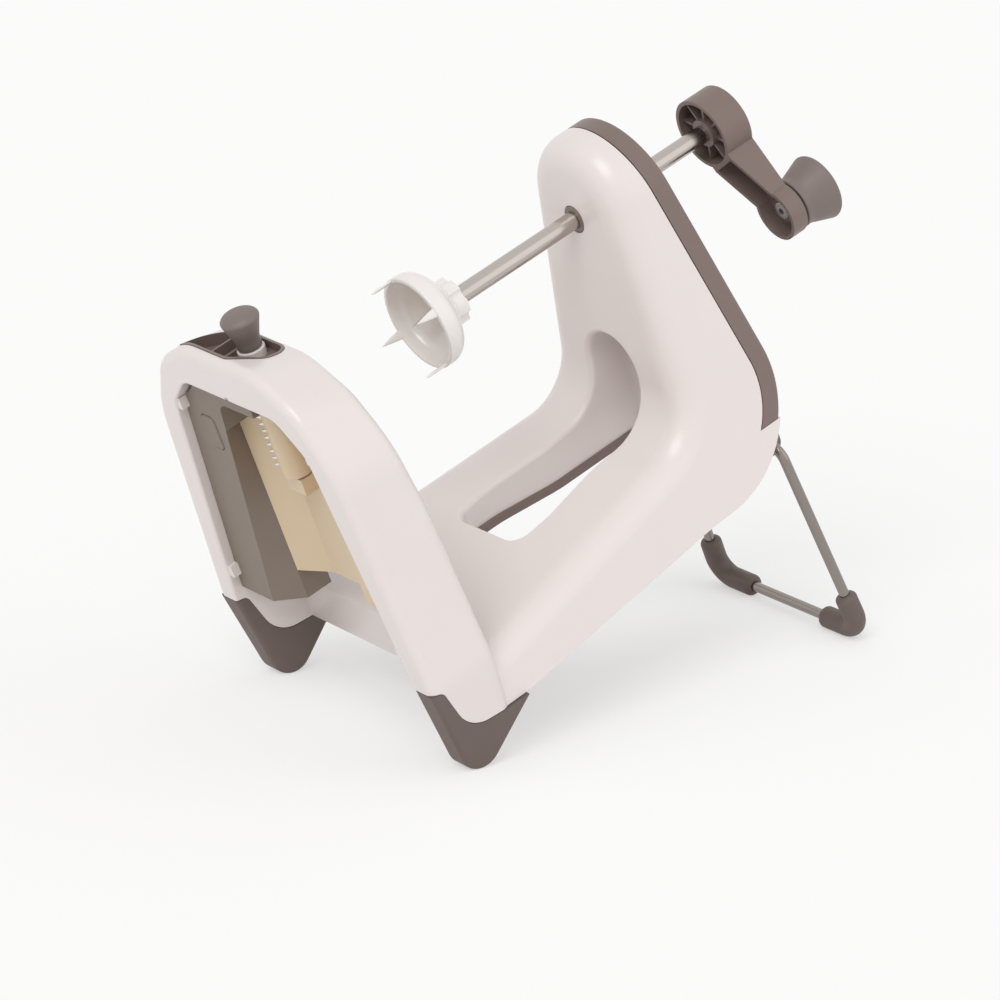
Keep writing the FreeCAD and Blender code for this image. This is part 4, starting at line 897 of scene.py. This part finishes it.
@dataclass(frozen=True)
class KickStand:
    """The bent wire stand with its two rubber sleeves, drawn from its pivot."""

    bench: Bench
    pivot: tuple[float, float, float] = (271.2, 0.0, -160.0)
    lean_deg: float = -3.5
    top_half: float = 50.6
    foot_half: float = 61.0
    length: float = 124.4
    end_half: float = 31.0
    wire: float = 2.9
    bend: float = 9.0
    foot_bend: float = 13.0
    sleeve: float = 6.2
    sleeve_gap: float = 0.05
    sleeve_lip: float = 0.05
    sleeve_edge: float = 3.0
    sleeve_up: float = 12.0
    sleeve_in: float = 24.0
    sleeve_step: float = 0.5

    def build(self) -> None:
        """Make the wire and both sleeves."""
        place = Place(self.bench.lean, 0.0, self.lean_deg, self.pivot)
        corners = [
            (-self.end_half, 0.0),
            (-self.top_half, 0.0, self.bend),
            (-self.foot_half, -self.length, self.foot_bend),
            (self.foot_half, -self.length, self.foot_bend),
            (self.top_half, 0.0, self.bend),
            (self.end_half, 0.0),
        ]
        path = Surfaces.even(Surfaces.rounded(corners, 24), 2.0)
        wide = np.full(len(path) + 2, self.wire)
        wide[[0, -1]] = 0
        wire = self.round_bar(np.vstack([path[:1], path, path[-1:]]), wide)
        self.bench.fit("stand_rod", "stand_wire", [wire], place)
        for side, name in ((-1, "near"), (1, "far")):
            self.bench.fit(f"stand_sleeve_{name}", f"stand_foot_{name}", [self.rubber(side)], place)

    def rubber(self, side: int) -> Sheet:
        """One sleeve round a corner of the wire.

        Its radius follows a quarter circle at both ends, r = end + (sleeve - end) sqrt(1 - u u), where
        end is the radius at its very end and u falls from 1 to 0 over the length of the edge; the bore
        runs back along the wire.

        Args:
            side: -1 for the near corner, 1 for the far one.

        Returns:
            The sheet.
        """
        slope = (self.foot_half - self.top_half) / self.length
        rise = self.sleeve_up + self.foot_bend
        inner = self.foot_half - self.sleeve_in - self.foot_bend / 2
        corners = [
            ((self.foot_half - slope * rise) * side, rise - self.length),
            (self.foot_half * side, -self.length, self.foot_bend),
            (inner * side, -self.length),
        ]
        path = Surfaces.even(Surfaces.rounded(corners, 32), self.sleeve_step)
        along = np.linspace(0, len(path) * self.sleeve_step, len(path))
        edge = np.clip(1 - np.minimum(along, along[::-1]) / self.sleeve_edge, 0, 1)
        bore = self.wire + self.sleeve_gap
        end = bore + self.sleeve_lip
        there = self.round_bar(path, end + (self.sleeve - end) * np.sqrt(1 - edge**2))
        back = self.round_bar(path, np.full(len(path), bore))
        return Sheet(np.concatenate([there.points, back.points[::-1]]), wrap_rows=True)

    @staticmethod
    def round_bar(line: np.ndarray, radius: np.ndarray) -> Sheet:
        """A round bar in the plane of the stand, where x is zero.

        Args:
            line: Points (y, z) of its middle.
            radius: Its radius at each point.

        Returns:
            The sheet.
        """
        path = np.column_stack([np.zeros(len(line)), line])
        return Surfaces.tube(path, np.array([1.0, 0, 0]), radius, radius, 32)


@dataclass(frozen=True)
class BladeSelector:
    """The flared knob on top of the arch, with its stem."""

    bench: Bench
    axis: float = 23.0
    stem_low: float = 21.7
    stem_radius: float = 4.0
    base: float = 43.0
    height: float = 19.0
    foot_radius: float = 6.6
    foot_length: float = 5.0
    top_radius: float = 10.6
    edge: float = 2.0
    dome: float = 2.0

    def build(self) -> None:
        """Make the knob: turned about X and set upright."""
        top = self.base + self.height
        line = [
            (self.stem_low, 0.0),
            (self.stem_low, self.stem_radius, 0.3),
            (self.base, self.stem_radius),
            (self.base, self.foot_radius, 0.8),
            (self.base + self.foot_length, self.foot_radius, 14),
            (top - self.edge, self.top_radius, self.edge),
            (top + 0.6, self.top_radius - self.edge, 4),
            (top + self.dome, 0.0),
        ]
        place = Place(self.bench.lean, origin=(self.axis, 0.0, 0.0), upright=True)
        knob = Surfaces.turned(Surfaces.rounded(line, 14), 96)
        self.bench.fit("selector_grip", "selector_knob", [knob], place)


@dataclass(frozen=True)
class ReturnSpring:
    """The coil behind the release button."""

    bench: Bench
    origin: tuple[float, float, float] = (14.45, 42.5, -11.0)
    coil_radius: float = 3.4
    wire: float = 0.45
    length: float = 7.1
    pitch: float = 1.9
    travel: float = 2.0
    points_per_turn: int = 36

    def build(self) -> None:
        """Make the coil, at its full length.

        At the angle a its middle is (pitch a / 2 pi, radius cos a, radius sin a), and its side
        direction points away from the coil's axis.
        """
        turns = self.length / self.pitch
        angle = np.linspace(0, 2 * np.pi * turns, int(self.points_per_turn * turns))
        away = np.stack([0 * angle, np.cos(angle), np.sin(angle)], axis=-1)
        path = away * self.coil_radius
        path[:, 0] = self.pitch * angle / (2 * np.pi)
        wide = np.full(len(path), self.wire)
        wide[[0, -1]] = 0
        coil = Surfaces.tube(path, away, wide, wide, 12)
        lean = self.bench.lean
        made = self.bench.fit("button_coil", "button_spring", [coil], Place(lean, origin=self.origin))
        rear = np.add(self.origin, (self.length + self.wire, 0, 0))
        along = lean.turn()[:, 0].tolist()
        lean.points(rear).tolist()
        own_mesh(made)


def main() -> None:
    """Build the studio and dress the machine."""
    logging.basicConfig(level=logging.INFO, format="%(name)s: %(message)s")
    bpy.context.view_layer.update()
    bpy.context.scene.view_settings.view_transform = "Standard"
    lean = Lean()
    Studio(lean).build()
    slots = {part["node"]: part["material_slot"] for part in frame["record"]["subparts"]}
    bench = Bench(lean, Paints(), frame["nodes"], slots)
    bench.dress_nodes()
    for assembly in (CrankHandle, DriveLine, FoodCup, KickStand, BladeSelector, ReturnSpring):
        assembly(bench).build()


if __name__ == "__main__":
    main()
